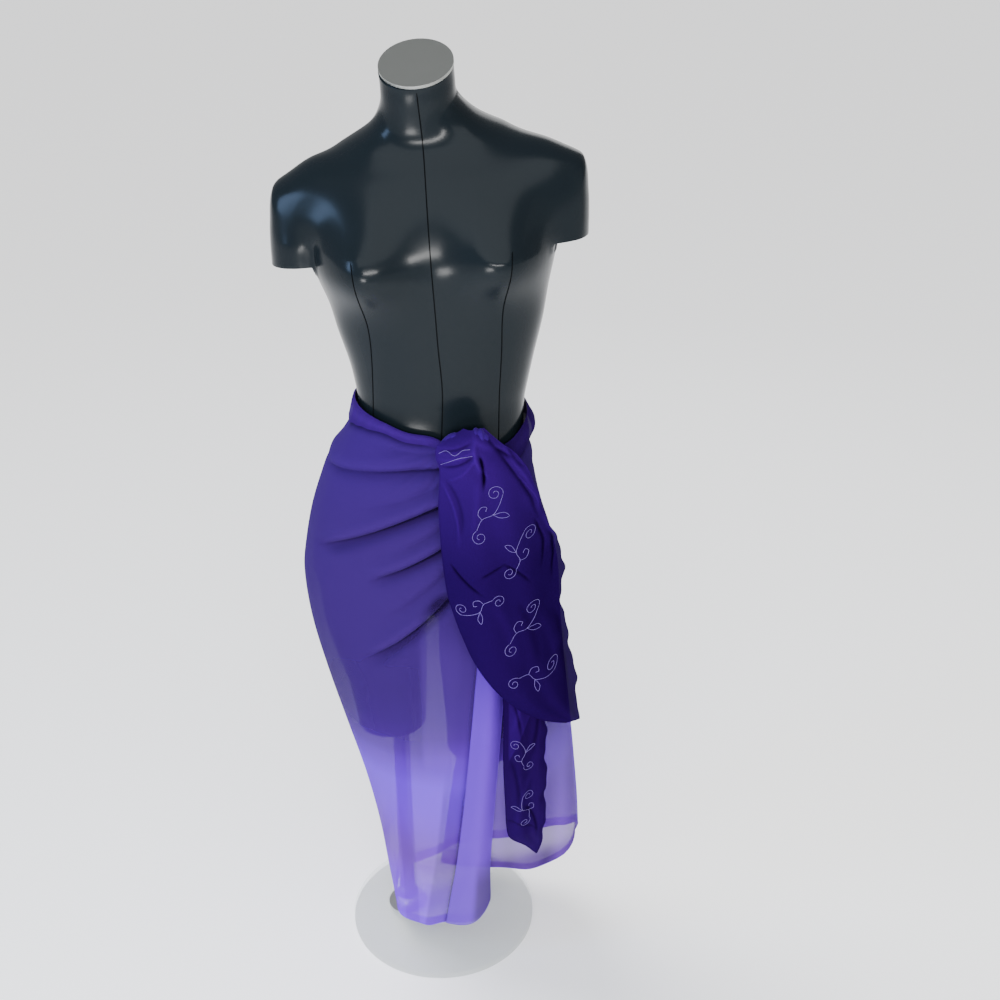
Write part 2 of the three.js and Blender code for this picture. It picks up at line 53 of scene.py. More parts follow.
scene = bpy.context.scene
camera_data = bpy.data.cameras.new("camera")
camera_data.lens = CAMERA["lens"]
camera_data.sensor_width = CAMERA["sensor"]
camera = bpy.data.objects.new("camera", camera_data)
camera.location = CAMERA["place"]
camera.rotation_euler = (math.radians(CAMERA["tilt"]), 0, 0)
scene.collection.objects.link(camera)
scene.camera = camera

LIGHTS = [
    # name, place, aim, width, height, watts, colour
    ("key", (0.2, -2.9, 1.72), (0.02, 0, 1.0), 1.9, 0.28, 94, (1.0, 0.985, 0.97)),
    ("low", (-0.44, -1.5, 0.8), (0, 0, 1.3), 0.4, 0.3, 13, (1.0, 0.99, 0.98)),
    ("lamp", (0.1, -1.9, 3.3), (0.0, 0, 1.1), 4.2, 2.0, 78, (0.95, 0.98, 1.0)),
    ("window", (-1.9, -0.9, 1.8), (0, 0, 1.15), 0.5, 0.9, 24, (0.38, 0.58, 1.0)),
    ("side", (2.4, -0.9, 1.5), (0, 0, 0.8), 1.2, 1.6, 2, (0.97, 0.98, 1.0)),
    ("rear", (0.5, 2.4, 2.0), (0, 0, 0.9), 1.4, 1.2, 10, (1.0, 1.0, 1.0)),
]
SUN = {"strength": 4.2, "spread": 40, "tilt": -34, "turn": 50}


def add_light(name, place, aim, width, height, watts, colour):
    data = bpy.data.lights.new(name, "AREA")
    data.shape = "RECTANGLE"
    data.size, data.size_y = width, height
    data.energy = watts
    data.color = colour
    light = bpy.data.objects.new(name, data)
    light.location = place
    turn = (Vector(aim) - Vector(place)).to_track_quat("-Z", "Y")
    light.rotation_euler = turn.to_euler()
    scene.collection.objects.link(light)


for row in LIGHTS:
    add_light(*row)
sky_data = bpy.data.lights.new("sky", "SUN")
sky_data.energy = SUN["strength"]
sky_data.angle = math.radians(SUN["spread"])
sky = bpy.data.objects.new("sky", sky_data)
sky.rotation_euler = (math.radians(SUN["tilt"]), 0, math.radians(SUN["turn"]))
sky.visible_glossy = False
scene.collection.objects.link(sky)

WORLD = {"colour": (0.97, 0.98, 1.0, 1), "strength": 0.42}
world = bpy.data.worlds.new("studio")
world.use_nodes = True
background = world.node_tree.nodes["Background"]
background.inputs["Color"].default_value = WORLD["colour"]
background.inputs["Strength"].default_value = WORLD["strength"]
scene.world = world

# ---------------- materials


def new_material(name, colour, roughness, metallic=0.0, specular=0.5):
    material = bpy.data.materials.new(name)
    material.use_nodes = True
    shader = material.node_tree.nodes["Principled BSDF"]
    shader.inputs["Base Color"].default_value = (*colour, 1)
    shader.inputs["Roughness"].default_value = roughness
    shader.inputs["Metallic"].default_value = metallic
    shader.inputs["Specular IOR Level"].default_value = specular
    return material, shader


def node(material, kind, **inputs):
    made = material.node_tree.nodes.new(kind)
    for key, value in inputs.items():
        made.inputs[key.replace("_", " ")].default_value = value
    return made


def link(material, out, into):
    material.node_tree.links.new(out, into)


def add_bump(material, shader, height, distance, strength):
    bump = node(material, "ShaderNodeBump", Strength=strength, Distance=distance)
    link(material, height, bump.inputs["Height"])
    link(material, bump.outputs["Normal"], shader.inputs["Normal"])


def coordinates(material, scale=(1, 1, 1)):
    source = node(material, "ShaderNodeTexCoord").outputs["Object"]
    if scale == (1, 1, 1):
        return source
    mapping = node(material, "ShaderNodeMapping")
    mapping.inputs["Scale"].default_value = scale
    link(material, source, mapping.inputs["Vector"])
    return mapping.outputs["Vector"]


def noise(material, scale, detail, stretch=(1, 1, 1)):
    made = node(material, "ShaderNodeTexNoise", Scale=scale, Detail=detail)
    link(material, coordinates(material, stretch), made.inputs["Vector"])
    return made.outputs["Fac"]


def calculate(material, operation, *values):
    """A math node over numbers and sockets, in the order of its inputs."""
    made = node(material, "ShaderNodeMath")
    made.operation = operation
    for socket, value in zip(made.inputs, values):
        if isinstance(value, float):
            socket.default_value = value
        else:
            link(material, value, socket)
    return made.outputs["Value"]


def map_range(material, value, **limits):
    made = node(material, "ShaderNodeMapRange", **limits)
    link(material, value, made.inputs["Value"])
    return made.outputs["Result"]


def ramp_by_height(material, stops, low, high, wander):
    """A colour that runs with height between low and high, in metres; stops are (share, colour)."""
    split = node(material, "ShaderNodeSeparateXYZ")
    link(material, coordinates(material), split.inputs["Vector"])
    uneven = noise(material, scale=7.0, detail=2.0)
    height = calculate(material, "MULTIPLY_ADD", uneven, wander, split.outputs["Z"])
    ramp = node(material, "ShaderNodeValToRGB")
    elements = ramp.color_ramp.elements
    while len(elements) < len(stops):
        elements.new(0.5)
    for element, (share, colour) in zip(elements, stops):
        element.position = share
        element.color = (*colour, 1)
    share = map_range(material, height, From_Min=low, From_Max=high)
    link(material, share, ramp.inputs["Fac"])
    return ramp.outputs["Color"]


def cloth_material(name, colours, cover, low, high, sheen=0.03):
    """A sheer cloth. Its colour runs with height, and so does how much it covers, if cover is a
    table and not one number. The point colours named shade hold painted shade, painted
    highlights and the grey of overlapping layers; they darken or lighten it and close its weave."""
    material, shader = new_material(name, (0.1, 0.07, 0.4), 0.8, specular=0.0)
    shade = node(material, "ShaderNodeVertexColor")
    shade.layer_name = "shade"
    darken = node(material, "ShaderNodeMixRGB", Fac=1.0)
    darken.blend_type = "MULTIPLY"
    link(material, ramp_by_height(material, colours, low, high, 0.02), darken.inputs["Color1"])
    link(material, shade.outputs["Color"], darken.inputs["Color2"])
    link(material, darken.outputs["Color"], shader.inputs["Base Color"])
    if isinstance(cover, float):
        shader.inputs["Alpha"].default_value = cover
    else:
        gaps = [(share, (1 - part, 1 - part, 1 - part)) for share, part in cover]
        gap = ramp_by_height(material, gaps, low, high, 0.03)
        opened = calculate(material, "MULTIPLY", gap, shade.outputs["Alpha"])
        closed = calculate(material, "SUBTRACT", 1.0, opened)
        link(material, closed, shader.inputs["Alpha"])
    shader.inputs["Sheen Weight"].default_value = sheen
    shader.inputs["Sheen Roughness"].default_value = 0.4
    shader.inputs["Sheen Tint"].default_value = (0.6, 0.45, 1.0, 1)
    weave = noise(material, scale=900.0, detail=2.0, stretch=(1, 1, 0.7))
    add_bump(material, shader, weave, distance=0.0004, strength=0.25)
    return material


# The dyed ombre runs from lavender at the hem to indigo at the waist. Its steep step, at shares 0.42 to
# 0.48, is set where the thighs end, so it partly paints the shade of the dark form above.
SKIRT_STOPS = [
    (0.0, (0.20, 0.036, 0.82)),
    (0.18, (0.145, 0.024, 0.62)),
    (0.30, (0.13, 0.018, 0.64)),
    (0.38, (0.113, 0.0145, 0.60)),
    (0.42, (0.08, 0.0125, 0.37)),
    (0.45, (0.052, 0.0115, 0.21)),
    (0.48, (0.0365, 0.0107, 0.132)),
    (0.51, (0.0305, 0.0104, 0.107)),
    (0.56, (0.0275, 0.0100, 0.093)),
    (0.82, (0.0245, 0.0088, 0.085)),
    (1.0, (0.024, 0.0068, 0.095)),
]
SKIRT_COVER = [(0.0, 0.76), (0.35, 0.79), (0.5, 0.84), (0.62, 0.89), (0.75, 0.95), (1.0, 0.97)]
# The pleat's outer layer is a brighter copy of the skirt's colour: partly for its denser cloth, and
# partly painted light, as that fold faces the light.
PANEL_STOPS = [
    (0.0, (0.125, 0.04, 0.47)),
    (0.25, (0.115, 0.03, 0.46)),
    (0.5, (0.10, 0.024, 0.43)),
    (0.62, (0.065, 0.016, 0.29)),
    (1.0, (0.03, 0.006, 0.12)),
]
WAIST_STOPS = [(0.0, (0.022, 0.004, 0.090)), (1.0, (0.025, 0.0045, 0.098))]
TAIL_STOPS = [(0.0, (0.0068, 0.0, 0.033)), (0.6, (0.0072, 0.0, 0.036)), (1.0, (0.018, 0.0014, 0.078))]
TAIL_BACK_STOPS = [(0.0, (0.011, 0.001, 0.048)), (0.4, (0.007, 0.0, 0.033)), (1.0, (0.007, 0.0, 0.033))]
KNOT_STOPS = [(0.0, (0.02, 0.002, 0.10)), (1.0, (0.026, 0.0035, 0.12))]
skirt_cloth = cloth_material("cloth_ombre", SKIRT_STOPS, SKIRT_COVER, 0.04, 0.94)
panel_cloth = cloth_material("cloth_panel", PANEL_STOPS, 0.86, 0.04, 0.94)
waist_cloth = cloth_material("cloth_waist", WAIST_STOPS, 0.985, 0.86, 0.95)
tail_cloth = cloth_material("cloth_tail", TAIL_STOPS, 0.993, 0.47, 0.93, sheen=0.0)
knot_cloth = cloth_material("cloth_knot", KNOT_STOPS, 0.99, 0.86, 0.94, sheen=0.05)
tail_back_cloth = cloth_material("cloth_tail_back", TAIL_BACK_STOPS, 0.993, 0.24, 0.9, sheen=0.0)


def thread_material():
    material, shader = new_material("thread_lilac", (0.09, 0.055, 0.25), 0.45)
    twist = noise(material, scale=1500.0, detail=1.0)
    add_bump(material, shader, twist, distance=0.0003, strength=0.5)
    return material


def form_material():
    material, shader = new_material("form_slate", (0.0046, 0.0074, 0.0098), 0.16, specular=0.12)
    gloss = noise(material, scale=26.0, detail=3.0)
    roughness = map_range(material, gloss, To_Min=0.15, To_Max=0.26)
    link(material, roughness, shader.inputs["Roughness"])
    ripple = noise(material, scale=9.0, detail=1.0)
    add_bump(material, shader, ripple, distance=0.002, strength=0.1)
    return material


def steel_material(name, colour, roughness, streak):
    material, shader = new_material(name, colour, roughness, metallic=1.0)
    grain = noise(material, scale=60.0, detail=4.0, stretch=streak)
    uneven = map_range(material, grain, To_Min=roughness - 0.06, To_Max=roughness + 0.1)
    link(material, uneven, shader.inputs["Roughness"])
    return material


def glass_material():
    material, shader = new_material("base_glass", (0.84, 0.91, 0.9), 0.06)
    shader.inputs["Alpha"].default_value = 0.22
    ripple = noise(material, scale=40.0, detail=1.0)
    add_bump(material, shader, ripple, distance=0.0002, strength=0.04)
    return material


thread = thread_material()
form_slate = form_material()
seam_dark = new_material("form_seam", (0.0012, 0.0016, 0.002), 0.7, specular=0.03)[0]
floor_pale = new_material("floor_pale", (0.96, 0.96, 0.965), 0.85, specular=0.1)[0]
cap_steel = steel_material("cap_steel", (0.36, 0.37, 0.35), 0.42, (1, 14, 1))
rod_chrome = steel_material("rod_chrome", (0.13, 0.13, 0.15), 0.26, (8, 8, 0.4))
collar_chrome = steel_material("collar_chrome", (0.62, 0.62, 0.64), 0.34, (8, 8, 0.4))
clear_glass = glass_material()

FLOOR_HALF = 40.0
corners = [(-1, -1), (1, -1), (1, 1), (-1, 1)]
floor_mesh = bpy.data.meshes.new("floor")
floor_mesh.from_pydata([(FLOOR_HALF * x, FLOOR_HALF * y, 0) for x, y in corners], [], [(0, 1, 2, 3)])
floor_mesh.materials.append(floor_pale)
floor = bpy.data.objects.new("floor", floor_mesh)
scene.collection.objects.link(floor)

# ---------------- helpers


def smooth(low, high, value):
    t = np.clip((value - low) / (high - low), 0, 1)
    return t * t * (3 - 2 * t)


def within(value, rise, fall):
    """1 between a rise and a fall, each given as where it starts and ends, and 0 outside."""
    return smooth(*rise, value) * smooth(*fall, value)


def bell(offset, width):
    return np.exp(-((offset / width) ** 2))


def signed_power(value, power):
    return np.sign(value) * np.abs(value) ** power


def mix(a, b, t):
    return a + (b - a) * t


class Table:
    """Rows under named columns, read along a smooth curve of the first column."""

    def __init__(self, columns, rows):
        self.names = columns.split()
        self.rows = np.array(sorted(rows), float)
        self.key = self.rows[:, 0]
        after = np.append(np.arange(1, len(rows)), len(rows) - 1)
        before = np.insert(np.arange(len(rows) - 1), 0, 0)
        rise = self.rows[after] - self.rows[before]
        self.slopes = rise / (self.key[after] - self.key[before])[:, None]

    def at(self, value):
        value = np.clip(np.asarray(value, float), self.key[0], self.key[-1])
        i = np.clip(np.searchsorted(self.key, value, side="right") - 1, 0, len(self.key) - 2)
        span = self.key[i + 1] - self.key[i]
        t = (value - self.key[i]) / span
        found = {}
        for k, name in enumerate(self.names):
            start, end = self.rows[i, k], self.rows[i + 1, k]
            m0, m1 = self.slopes[i, k], self.slopes[i + 1, k]
            found[name] = (
                (2 * t**3 - 3 * t**2 + 1) * start
                + (t**3 - 2 * t**2 + t) * span * m0
                + (3 * t**2 - 2 * t**3) * end
                + (t**3 - t**2) * span * m1
            )
        return found


def set_shade(mesh, shade=None, gaps=None):
    """The painted shade and painted highlights of each point of a cloth, with the grey of overlapping
    layers, and in the fourth channel how open its weave is.
    """
    layer = mesh.color_attributes.new("shade", "FLOAT_COLOR", "POINT")
    values = np.ones((len(mesh.vertices), 4))
    if shade is not None:
        values[:, :3] = np.asarray(shade).reshape(len(values), -1)
    if gaps is not None:
        values[:, 3] = np.asarray(gaps).ravel()
    layer.data.foreach_set("color", values.ravel())


def make_mesh(name, points, faces, material, shade=None, gaps=None):
    """points in millimetres."""
    mesh = bpy.data.meshes.new(name)
    mesh.from_pydata((np.asarray(points, float) * MM).tolist(), [], faces)
    mesh.materials.append(material)
    mesh.polygons.foreach_set("use_smooth", [True] * len(mesh.polygons))
    mesh.update()
    set_shade(mesh, shade, gaps)
    piece = bpy.data.objects.new(name, mesh)
    scene.collection.objects.link(piece)
    return piece


def grid_faces(rows, columns):
    faces = []
    for j in range(rows - 1):
        for i in range(columns - 1):
            a = j * columns + i
            faces.append((a + 1, a, a + columns, a + 1 + columns))
    return faces


def make_sheet(name, grid, material, shade=None, gaps=None):
    """grid is rows by columns by 3; columns run to the left seen from outside, rows upwards."""
    rows, columns = grid.shape[:2]
    return make_mesh(name, grid.reshape(-1, 3), grid_faces(rows, columns), material, shade, gaps)


def grid_normals(grid):
    across = np.gradient(grid, axis=1)
    up = np.gradient(grid, axis=0)
    normal = np.cross(up, across)
    return normal / np.maximum(np.linalg.norm(normal, axis=2, keepdims=True), 1e-9)


def tube(name, paths, radius, material, sides=6):
    """Thin cords along paths, each a list of points in millimetres."""
    points, faces = [], []
    for path in paths:
        path = np.asarray(path, float)
        if len(path) < 3:
            continue
        ahead = np.gradient(path, axis=0)
        ahead /= np.maximum(np.linalg.norm(ahead, axis=1, keepdims=True), 1e-9)
        side = np.cross(ahead, [0.3, 0.2, 1.0])
        side /= np.maximum(np.linalg.norm(side, axis=1, keepdims=True), 1e-9)
        over = np.cross(ahead, side)
        start = len(points)
        taper = np.ones(len(path))
        taper[0] = taper[-1] = 0.3
        for p, s, o, t in zip(path, side, over, taper):
            for k in range(sides):
                turn = 2 * math.pi * k / sides
                points.append(p + radius * t * (math.cos(turn) * s + math.sin(turn) * o))
        for j in range(len(path) - 1):
            for k in range(sides):
                a = start + j * sides + k
                b = start + j * sides + (k + 1) % sides
                faces.append((a, b, b + sides, a + sides))
        faces.append(tuple(start + k for k in range(sides))[::-1])
        faces.append(tuple(start + (len(path) - 1) * sides + k for k in range(sides)))
    return make_mesh(name, points, faces, material)


def finish_piece(piece, slot, *nodes):
    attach(piece, "root")
    if nodes:
        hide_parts(*nodes)
    return piece


def vectors(items, name):
    """A row of three numbers for each item, such as a place or a normal, in metres."""
    values = np.empty(len(items) * 3)
    items.foreach_get(name, values)
    return values.reshape(-1, 3)


def move_points(mesh, at):
    mesh.vertices.foreach_set("co", at.ravel())
    mesh.update()


def join_bodies(bodies):
    points, faces, start = [], [], 0
    for body_points, body_faces in bodies:
        points.append(body_points)
        faces += [tuple(i + start for i in face) for face in body_faces]
        start += len(body_points)
    return np.concatenate(points), faces


def add_remesh(piece, size):
    remesh = piece.modifiers.new("remesh", "REMESH")
    remesh.mode = "VOXEL"
    remesh.voxel_size = size
    remesh.use_smooth_shade = True


def apply_modifiers(piece):
    graph = bpy.context.evaluated_depsgraph_get()
    mesh = bpy.data.meshes.new_from_object(piece.evaluated_get(graph))
    piece.modifiers.clear()
    old = piece.data
    piece.data = mesh
    bpy.data.meshes.remove(old)


# ---------------- the torso form

LEAN = 0.077
ROUNDNESS = 2.25
CAP = {"x": -7, "y": -8, "z": 1364, "pitch": 29.5, "half_thickness": 2, "gap": 0.6}
BUST = {"x": 94, "z": 1132, "shift": 12, "out": 36, "wide": 54, "above": 64, "below": 46}
BUST_FADE = (20, -60)

TRUNK = Table("z x y half front back lean pitch", [
    (609, -4, 4, 52, 50, 60, 0, 0),
    (621, -5, 4, 118, 75, 91, 0, 0),
    (646, -6, 4, 163, 98, 112, 0, 0),
    (685, -7, 4, 171, 105, 119, 0, 0),
    (760, -9, 2, 154, 101, 106, 0, 0),
    (830, 0.5, 0, 133, 92, 88, 0, 0),
    (880, 9, 0, 120, 84, 77, 0, 0),
    (930, 14.5, 0, 115, 78, 73, 0.15, 0),
    (980, 16.5, 1, 122, 83, 78, 0.4, 0),
    (1040, 15.5, 3, 137, 92, 87, 0.7, 0),
    (1080, 14, 5, 145, 98, 90, 0.9, 0),
    (1130, 10, 8, 159, 104, 92, 1, 0),
    (1170, 9, 10, 164, 99, 90, 1, 0),
    (1205, 7, 12, 168, 89, 84, 1, 0),
    (1235, 6, 14, 167, 76, 75, 1, 2),
    (1258, 7, 14, 147, 63, 65, 1, 5),
    (1277, 6, 12, 108, 53, 56, 1, 9),
    (1295, 2, 9, 71, 48, 51, 1, 13),
    (1320, -5, 3, 49, 46, 47, 1, 20),
    (1343, -6, -3, 46, 46, 46, 1, 26),
    (1361.2, -7.2, -6.8, 46, 46, 46, 1, 29.5),
    (1376, -8.2, -15, 46, 46, 46, 1, 29.5),
])
ARM_STUB = Table("z out half depth", [
    (1268, 121, 28, 26),
    (1254, 136, 44, 42),
    (1230, 147, 52, 52),
    (1190, 154, 51, 55),
    (1160, 157, 49.5, 55),
    (1136, 158.5, 48, 53),
    (1112, 159.5, 47, 52),
])
ARM = {"x": 3.5, "y": 10, "lean": 0.1, "out": 158.5, "cut": 1136, "spare": 9}
THIGH_LEFT = Table("z x y half depth", [
    (660, -88, 2, 80, 88),
    (600, -89, 4, 79, 85),
    (540, -85, 5, 70, 78),
    (480, -77, 6, 61, 69),
    (440, -74.5, 6.5, 57, 64),
    (406, -72.5, 7, 54, 60),
    (370, -71, 7, 52, 58),
])
THIGH_RIGHT = Table("z x y half depth", [
    (660, 82, -4, 78, 88),
    (600, 80, -12, 77, 84),
    (540, 76.5, -27, 73, 77),
    (480, 75, -43, 66, 70),
    (440, 74.5, -51, 62, 65),
    (409, 73, -57, 59.5, 61),
    (372, 72, -60, 58, 59),
])
THIGH_HEIGHTS = (372, 660)
# Side, and the height of the thigh's flat end.
THIGH_CUTS = [(-1, 396), (1, 399)]
# Rings, and points round each.
RINGS = {"trunk": (150, 128), "arm": (50, 64), "thigh": (60, 80)}
# Where the joints are relaxed, as rises and falls, and how much.
ARM_JOINT = {"out": ((62, 95), (198, 176)), "low": (1146, 1172), "high": (1282, 1252), "slope": 0.12}
ARM_RELAX = {"rounds": 110, "push": 0.5}
THIGH_JOINT = ((760, 700), (520, 560))
THIGH_RELAX = {"rounds": 16, "push": 0.2}
UNDER_CLOTH = {"inset": 0.9, "below": (960, 930)}
ARM_END = {"low": 1090, "high": 1170, "reach": 60, "trunk_x": 10, "outside": 1.012}
# In metres: the size of the form's cells, and where only thighs and only the neck are left.
FORM_VOXEL = 0.0046
THIGHS_BELOW = 0.47
NECK_ABOVE = 1.3


def body_rings(section, around):
    """One ring of points for each row of the section's columns."""
    angle = 2 * np.pi * np.arange(around)[None, :] / around
    rows = section["z"].shape
    column = {key: np.broadcast_to(value, rows)[:, None] for key, value in section.items()}
    across = column["half"] * signed_power(np.cos(angle), 2 / ROUNDNESS)
    depth = np.where(np.sin(angle) < 0, column["front"], column["back"])
    along = depth * signed_power(np.sin(angle), 2 / ROUNDNESS)
    pitch = np.radians(column["pitch"])
    x = column["x"] + across
    y = column["y"] + along * np.cos(pitch)
    z = column["z"] + along * np.sin(pitch) + across * LEAN * column["lean"]
    return np.stack([x, y, z], axis=2)


def bust_out(x, y, z):
    out = 0
    for side in (-1, 1):
        middle = BUST["shift"] + side * BUST["x"]
        level = BUST["z"] + LEAN * side * BUST["x"]
        rise = np.where(z > level, BUST["above"], BUST["below"])
        reach = bell(x - middle, BUST["wide"]) * bell(z - level, rise)
        out = out + BUST["out"] * smooth(*BUST_FADE, y) * reach
    return out


def add_bust(points):
    points[..., 1] -= bust_out(points[..., 0], points[..., 1], points[..., 2])
    return points


def closed_loft(rings):
    """Points and faces of a closed body through rings."""
    rows, columns = rings.shape[:2]
    points = np.concatenate([rings.reshape(-1, 3), [rings[0].mean(0), rings[-1].mean(0)]])
    faces = []
    for j in range(rows - 1):
        for i in range(columns):
            k = (i + 1) % columns
            a, b = j * columns + i, j * columns + k
            faces.append((a, b, b + columns, a + columns))
    low, high = rows * columns, rows * columns + 1
    for i in range(columns):
        k = (i + 1) % columns
        faces.append((low, k, i))
        faces.append((high, (rows - 1) * columns + i, (rows - 1) * columns + k))
    return points, faces


def form_bodies():
    """The trunk with its neck, the arm stubs and the thighs, each closed."""
    rows, around = RINGS["trunk"]
    z = np.linspace(TRUNK.key[0], TRUNK.key[-1], rows)
    yield closed_loft(add_bust(body_rings(TRUNK.at(z), around)))
    rows, around = RINGS["arm"]
    for side in (-1, 1):
        z = np.linspace(ARM["cut"] - ARM["spare"], ARM_STUB.key[-1], rows)
        arm = ARM_STUB.at(z)
        section = {
            "z": z + ARM["lean"] * side * arm["out"],
            "x": ARM["x"] + side * arm["out"],
            "y": ARM["y"],
            "half": arm["half"],
            "front": arm["depth"],
            "back": arm["depth"],
            "lean": 1.0,
            "pitch": 0.0,
        }
        yield closed_loft(body_rings(section, around))
    rows, around = RINGS["thigh"]
    for table in (THIGH_LEFT, THIGH_RIGHT):
        section = table.at(np.linspace(*THIGH_HEIGHTS, rows))
        section["front"] = section["back"] = section["depth"]
        section["lean"] = section["pitch"] = 0.0
        yield closed_loft(body_rings(section, around))


def cut(work, point, normal, region):
    """Cuts off what lies past a plane, for faces in region, and closes the hole flat."""
    inside = [f for f in work.faces if region(f.calc_center_median())]
    edges = dict.fromkeys(edge for face in inside for edge in face.edges)
    verts = dict.fromkeys(vert for face in inside for vert in face.verts)
    result = bmesh.ops.bisect_plane(
        work, geom=[*verts, *edges, *inside], plane_co=point, plane_no=normal, clear_outer=True
    )
    rim = [e for e in result["geom_cut"] if isinstance(e, bmesh.types.BMEdge)]
    filled = bmesh.ops.holes_fill(work, edges=rim, sides=0)
    for edge in rim:
        edge.smooth = False
    for face in filled["faces"]:
        face.smooth = False


def relax(mesh, rounds, weights=1.0, push=-0.53):
    """Evens out a mesh, and with the usual push doesn't shrink it. weights says where."""
    at = vectors(mesh.vertices, "co")
    count = len(at)
    pairs = np.empty(len(mesh.edges) * 2, int)
    mesh.edges.foreach_get("vertices", pairs)
    a, b = pairs[0::2], pairs[1::2]
    degree = np.bincount(a, minlength=count) + np.bincount(b, minlength=count)
    for k in range(rounds * 2):
        factor = 0.5 if k % 2 == 0 else push
        for axis in range(3):
            value = at[:, axis]
            total = np.bincount(a, value[b], count) + np.bincount(b, value[a], count)
            at[:, axis] = value + factor * weights * (total / np.maximum(degree, 1) - value)
    move_points(mesh, at)


def soften_joints(mesh):
    """Blends the arms into the chest and back, and the thighs into the trunk."""
    x, _, z = vectors(mesh.vertices, "co").T / MM
    out = x - ARM["x"]
    arms = within(np.abs(out), *ARM_JOINT["out"]) * smooth(*ARM_JOINT["low"], z)
    arms = arms * smooth(*ARM_JOINT["high"], z - ARM_JOINT["slope"] * out)
    relax(mesh, weights=arms, **ARM_RELAX)
    z = vectors(mesh.vertices, "co")[:, 2] / MM
    relax(mesh, weights=within(z, *THIGH_JOINT), **THIGH_RELAX)


def slim_under_cloth(mesh):
    """Keeps the form a little inside its cloth."""
    at, normal = vectors(mesh.vertices, "co"), vectors(mesh.vertex_normals, "vector")
    inset = UNDER_CLOTH["inset"] * MM * smooth(*UNDER_CLOTH["below"], at[:, 2] / MM)
    move_points(mesh, at - normal * inset[:, None])


def flatten_arm_ends(work):
    """Pushes what is left of each arm below its end up into one flat face."""
    for vertex in work.verts:
        x, y, z = vertex.co.x / MM, vertex.co.y / MM, vertex.co.z / MM
        if not ARM_END["low"] < z < ARM_END["high"]:
            continue
        side = 1 if x > ARM["x"] else -1
        middle = ARM["x"] + side * ARM["out"]
        end = ARM["cut"] + ARM["lean"] * side * ARM["out"] + LEAN * (x - middle)
        if z > end or abs(x - middle) > ARM_END["reach"]:
            continue
        row = TRUNK.at(z - LEAN * (x - ARM_END["trunk_x"]))
        depth = row["front"] if y < row["y"] else row["back"]
        y += bust_out(x, y, z)
        across = abs((x - row["x"]) / row["half"]) ** ROUNDNESS
        reach = (across + abs((y - row["y"]) / depth) ** ROUNDNESS) ** (1 / ROUNDNESS)
        if reach > ARM_END["outside"]:
            vertex.co.z = end * MM
    bmesh.ops.dissolve_degenerate(work, dist=0.0002, edges=work.edges)


def cut_ends(work):
    """Flat ends for the thighs, and the slanted one of the neck under its cap."""
    for side, level in THIGH_CUTS:
        cut(
            work,
            Vector((0, 0, level * MM)),
            Vector((0, 0, -1)),
            lambda c, side=side: c.x * side > 0 and c.z < THIGHS_BELOW,
        )
    tilt = math.radians(CAP["pitch"])
    normal = Vector((-LEAN, -math.sin(tilt), math.cos(tilt))).normalized()
    centre = Vector((CAP["x"], CAP["y"], CAP["z"])) * MM
    below = centre - normal * (CAP["half_thickness"] + CAP["gap"]) * MM
    cut(work, below, normal, lambda c: c.z > NECK_ABOVE)


def build_form():
    form = make_mesh("torso_shell", *join_bodies(form_bodies()), form_slate)
    add_remesh(form, FORM_VOXEL)
    apply_modifiers(form)
    relax(form.data, 14)
    soften_joints(form.data)
    slim_under_cloth(form.data)
    work = bmesh.new()
    work.from_mesh(form.data)
    flatten_arm_ends(work)
    cut_ends(work)
    work.to_mesh(form.data)
    work.free()
    form.data.materials.clear()
    form.data.materials.append(form_slate)
    form.data.set_sharp_from_angle(angle=math.radians(38))
    return form


form = build_form()
finish_piece(form, "form_plastic", "torso_form")

SPINE = Table("z x", [
    (620, 0), (690, 4), (955, 20), (1033, 16), (1112, 12), (1191, 7), (1245, 3), (1350, -6),
])
SIDE_LEFT = Table("z x", [(800, -80), (945, -73), (1016, -71), (1053, -73), (1091, -80), (1148, -87)])
SIDE_RIGHT = Table("z x", [(800, 92), (948, 94), (1016, 97), (1078, 99), (1132, 109), (1160, 110)])
MOULD_LINES = [
    # path, the side it faces (-1 is the front), lowest and highest point
    (SPINE, -1, 640, 1335),
    (SPINE, 1, 640, 1335),
    (SIDE_LEFT, -1, 820, 1146),
    (SIDE_RIGHT, -1, 820, 1158),
]
SEAM = {"steps": 110, "radius": 0.75, "lift": 0.00006}
# Rays start this far in front of the part or behind it, in metres.
RAY_START = 0.5


def seam_on_form(tree, table, facing, low, high):
    found = []
    for z in np.linspace(low, high, SEAM["steps"]):
        x = float(table.at(z)["x"]) * MM
        hit = tree.ray_cast(Vector((x, facing * RAY_START, z * MM)), Vector((0, -facing, 0)))
        if hit[0] is not None:
            found.append(np.array(hit[0] + hit[1] * SEAM["lift"]) / MM)
    return found


form_tree = BVHTree.FromObject(form, bpy.context.evaluated_depsgraph_get())
seam_paths = [seam_on_form(form_tree, *row) for row in MOULD_LINES]
finish_piece(tube("form_seams", seam_paths, SEAM["radius"], seam_dark), "form_plastic")

# ---------------- the skirt

SKIRT = Table("z left right front back", [
    (40, -79, 219, 101, 96),
    (130, -89, 222, 113, 98),
    (230, -100, 219, 130, 101),
    (330, -118, 211, 142, 106),
    (430, -143, 201, 147, 113),
    (520, -166, 191, 140, 122),
    (600, -183, 184, 129, 130),
    (674, -189, 179, 121, 133),
    (720, -183, 169, 117, 127),
    (770, -172, 154, 113, 119),
    (810, -159, 145, 108, 110),
    (850, -143, 139.5, 101, 99),
    (900, -112, 132.5, 92, 81),
    (950, -99.6, 132, 88, 77.5),
])
EDGES = Table("angle top hem", [
    (-25, 886, 150),
    (-6, 896, 134),
    (2, 906, 98),
    (17, 911, 72),
    (34, 920, 52),
    (64, 930, 40),
    (90, 936, 40),
    (130, 937, 45),
    (180, 938, 66),
    (225, 930, 114),
    (262, 914, 174),
    (278, 908, 198),
    (295, 898, 202),
    (310, 888, 182),
    (325, 882, 165),
    (352, 884, 190),
    (420, 892, 196),
])
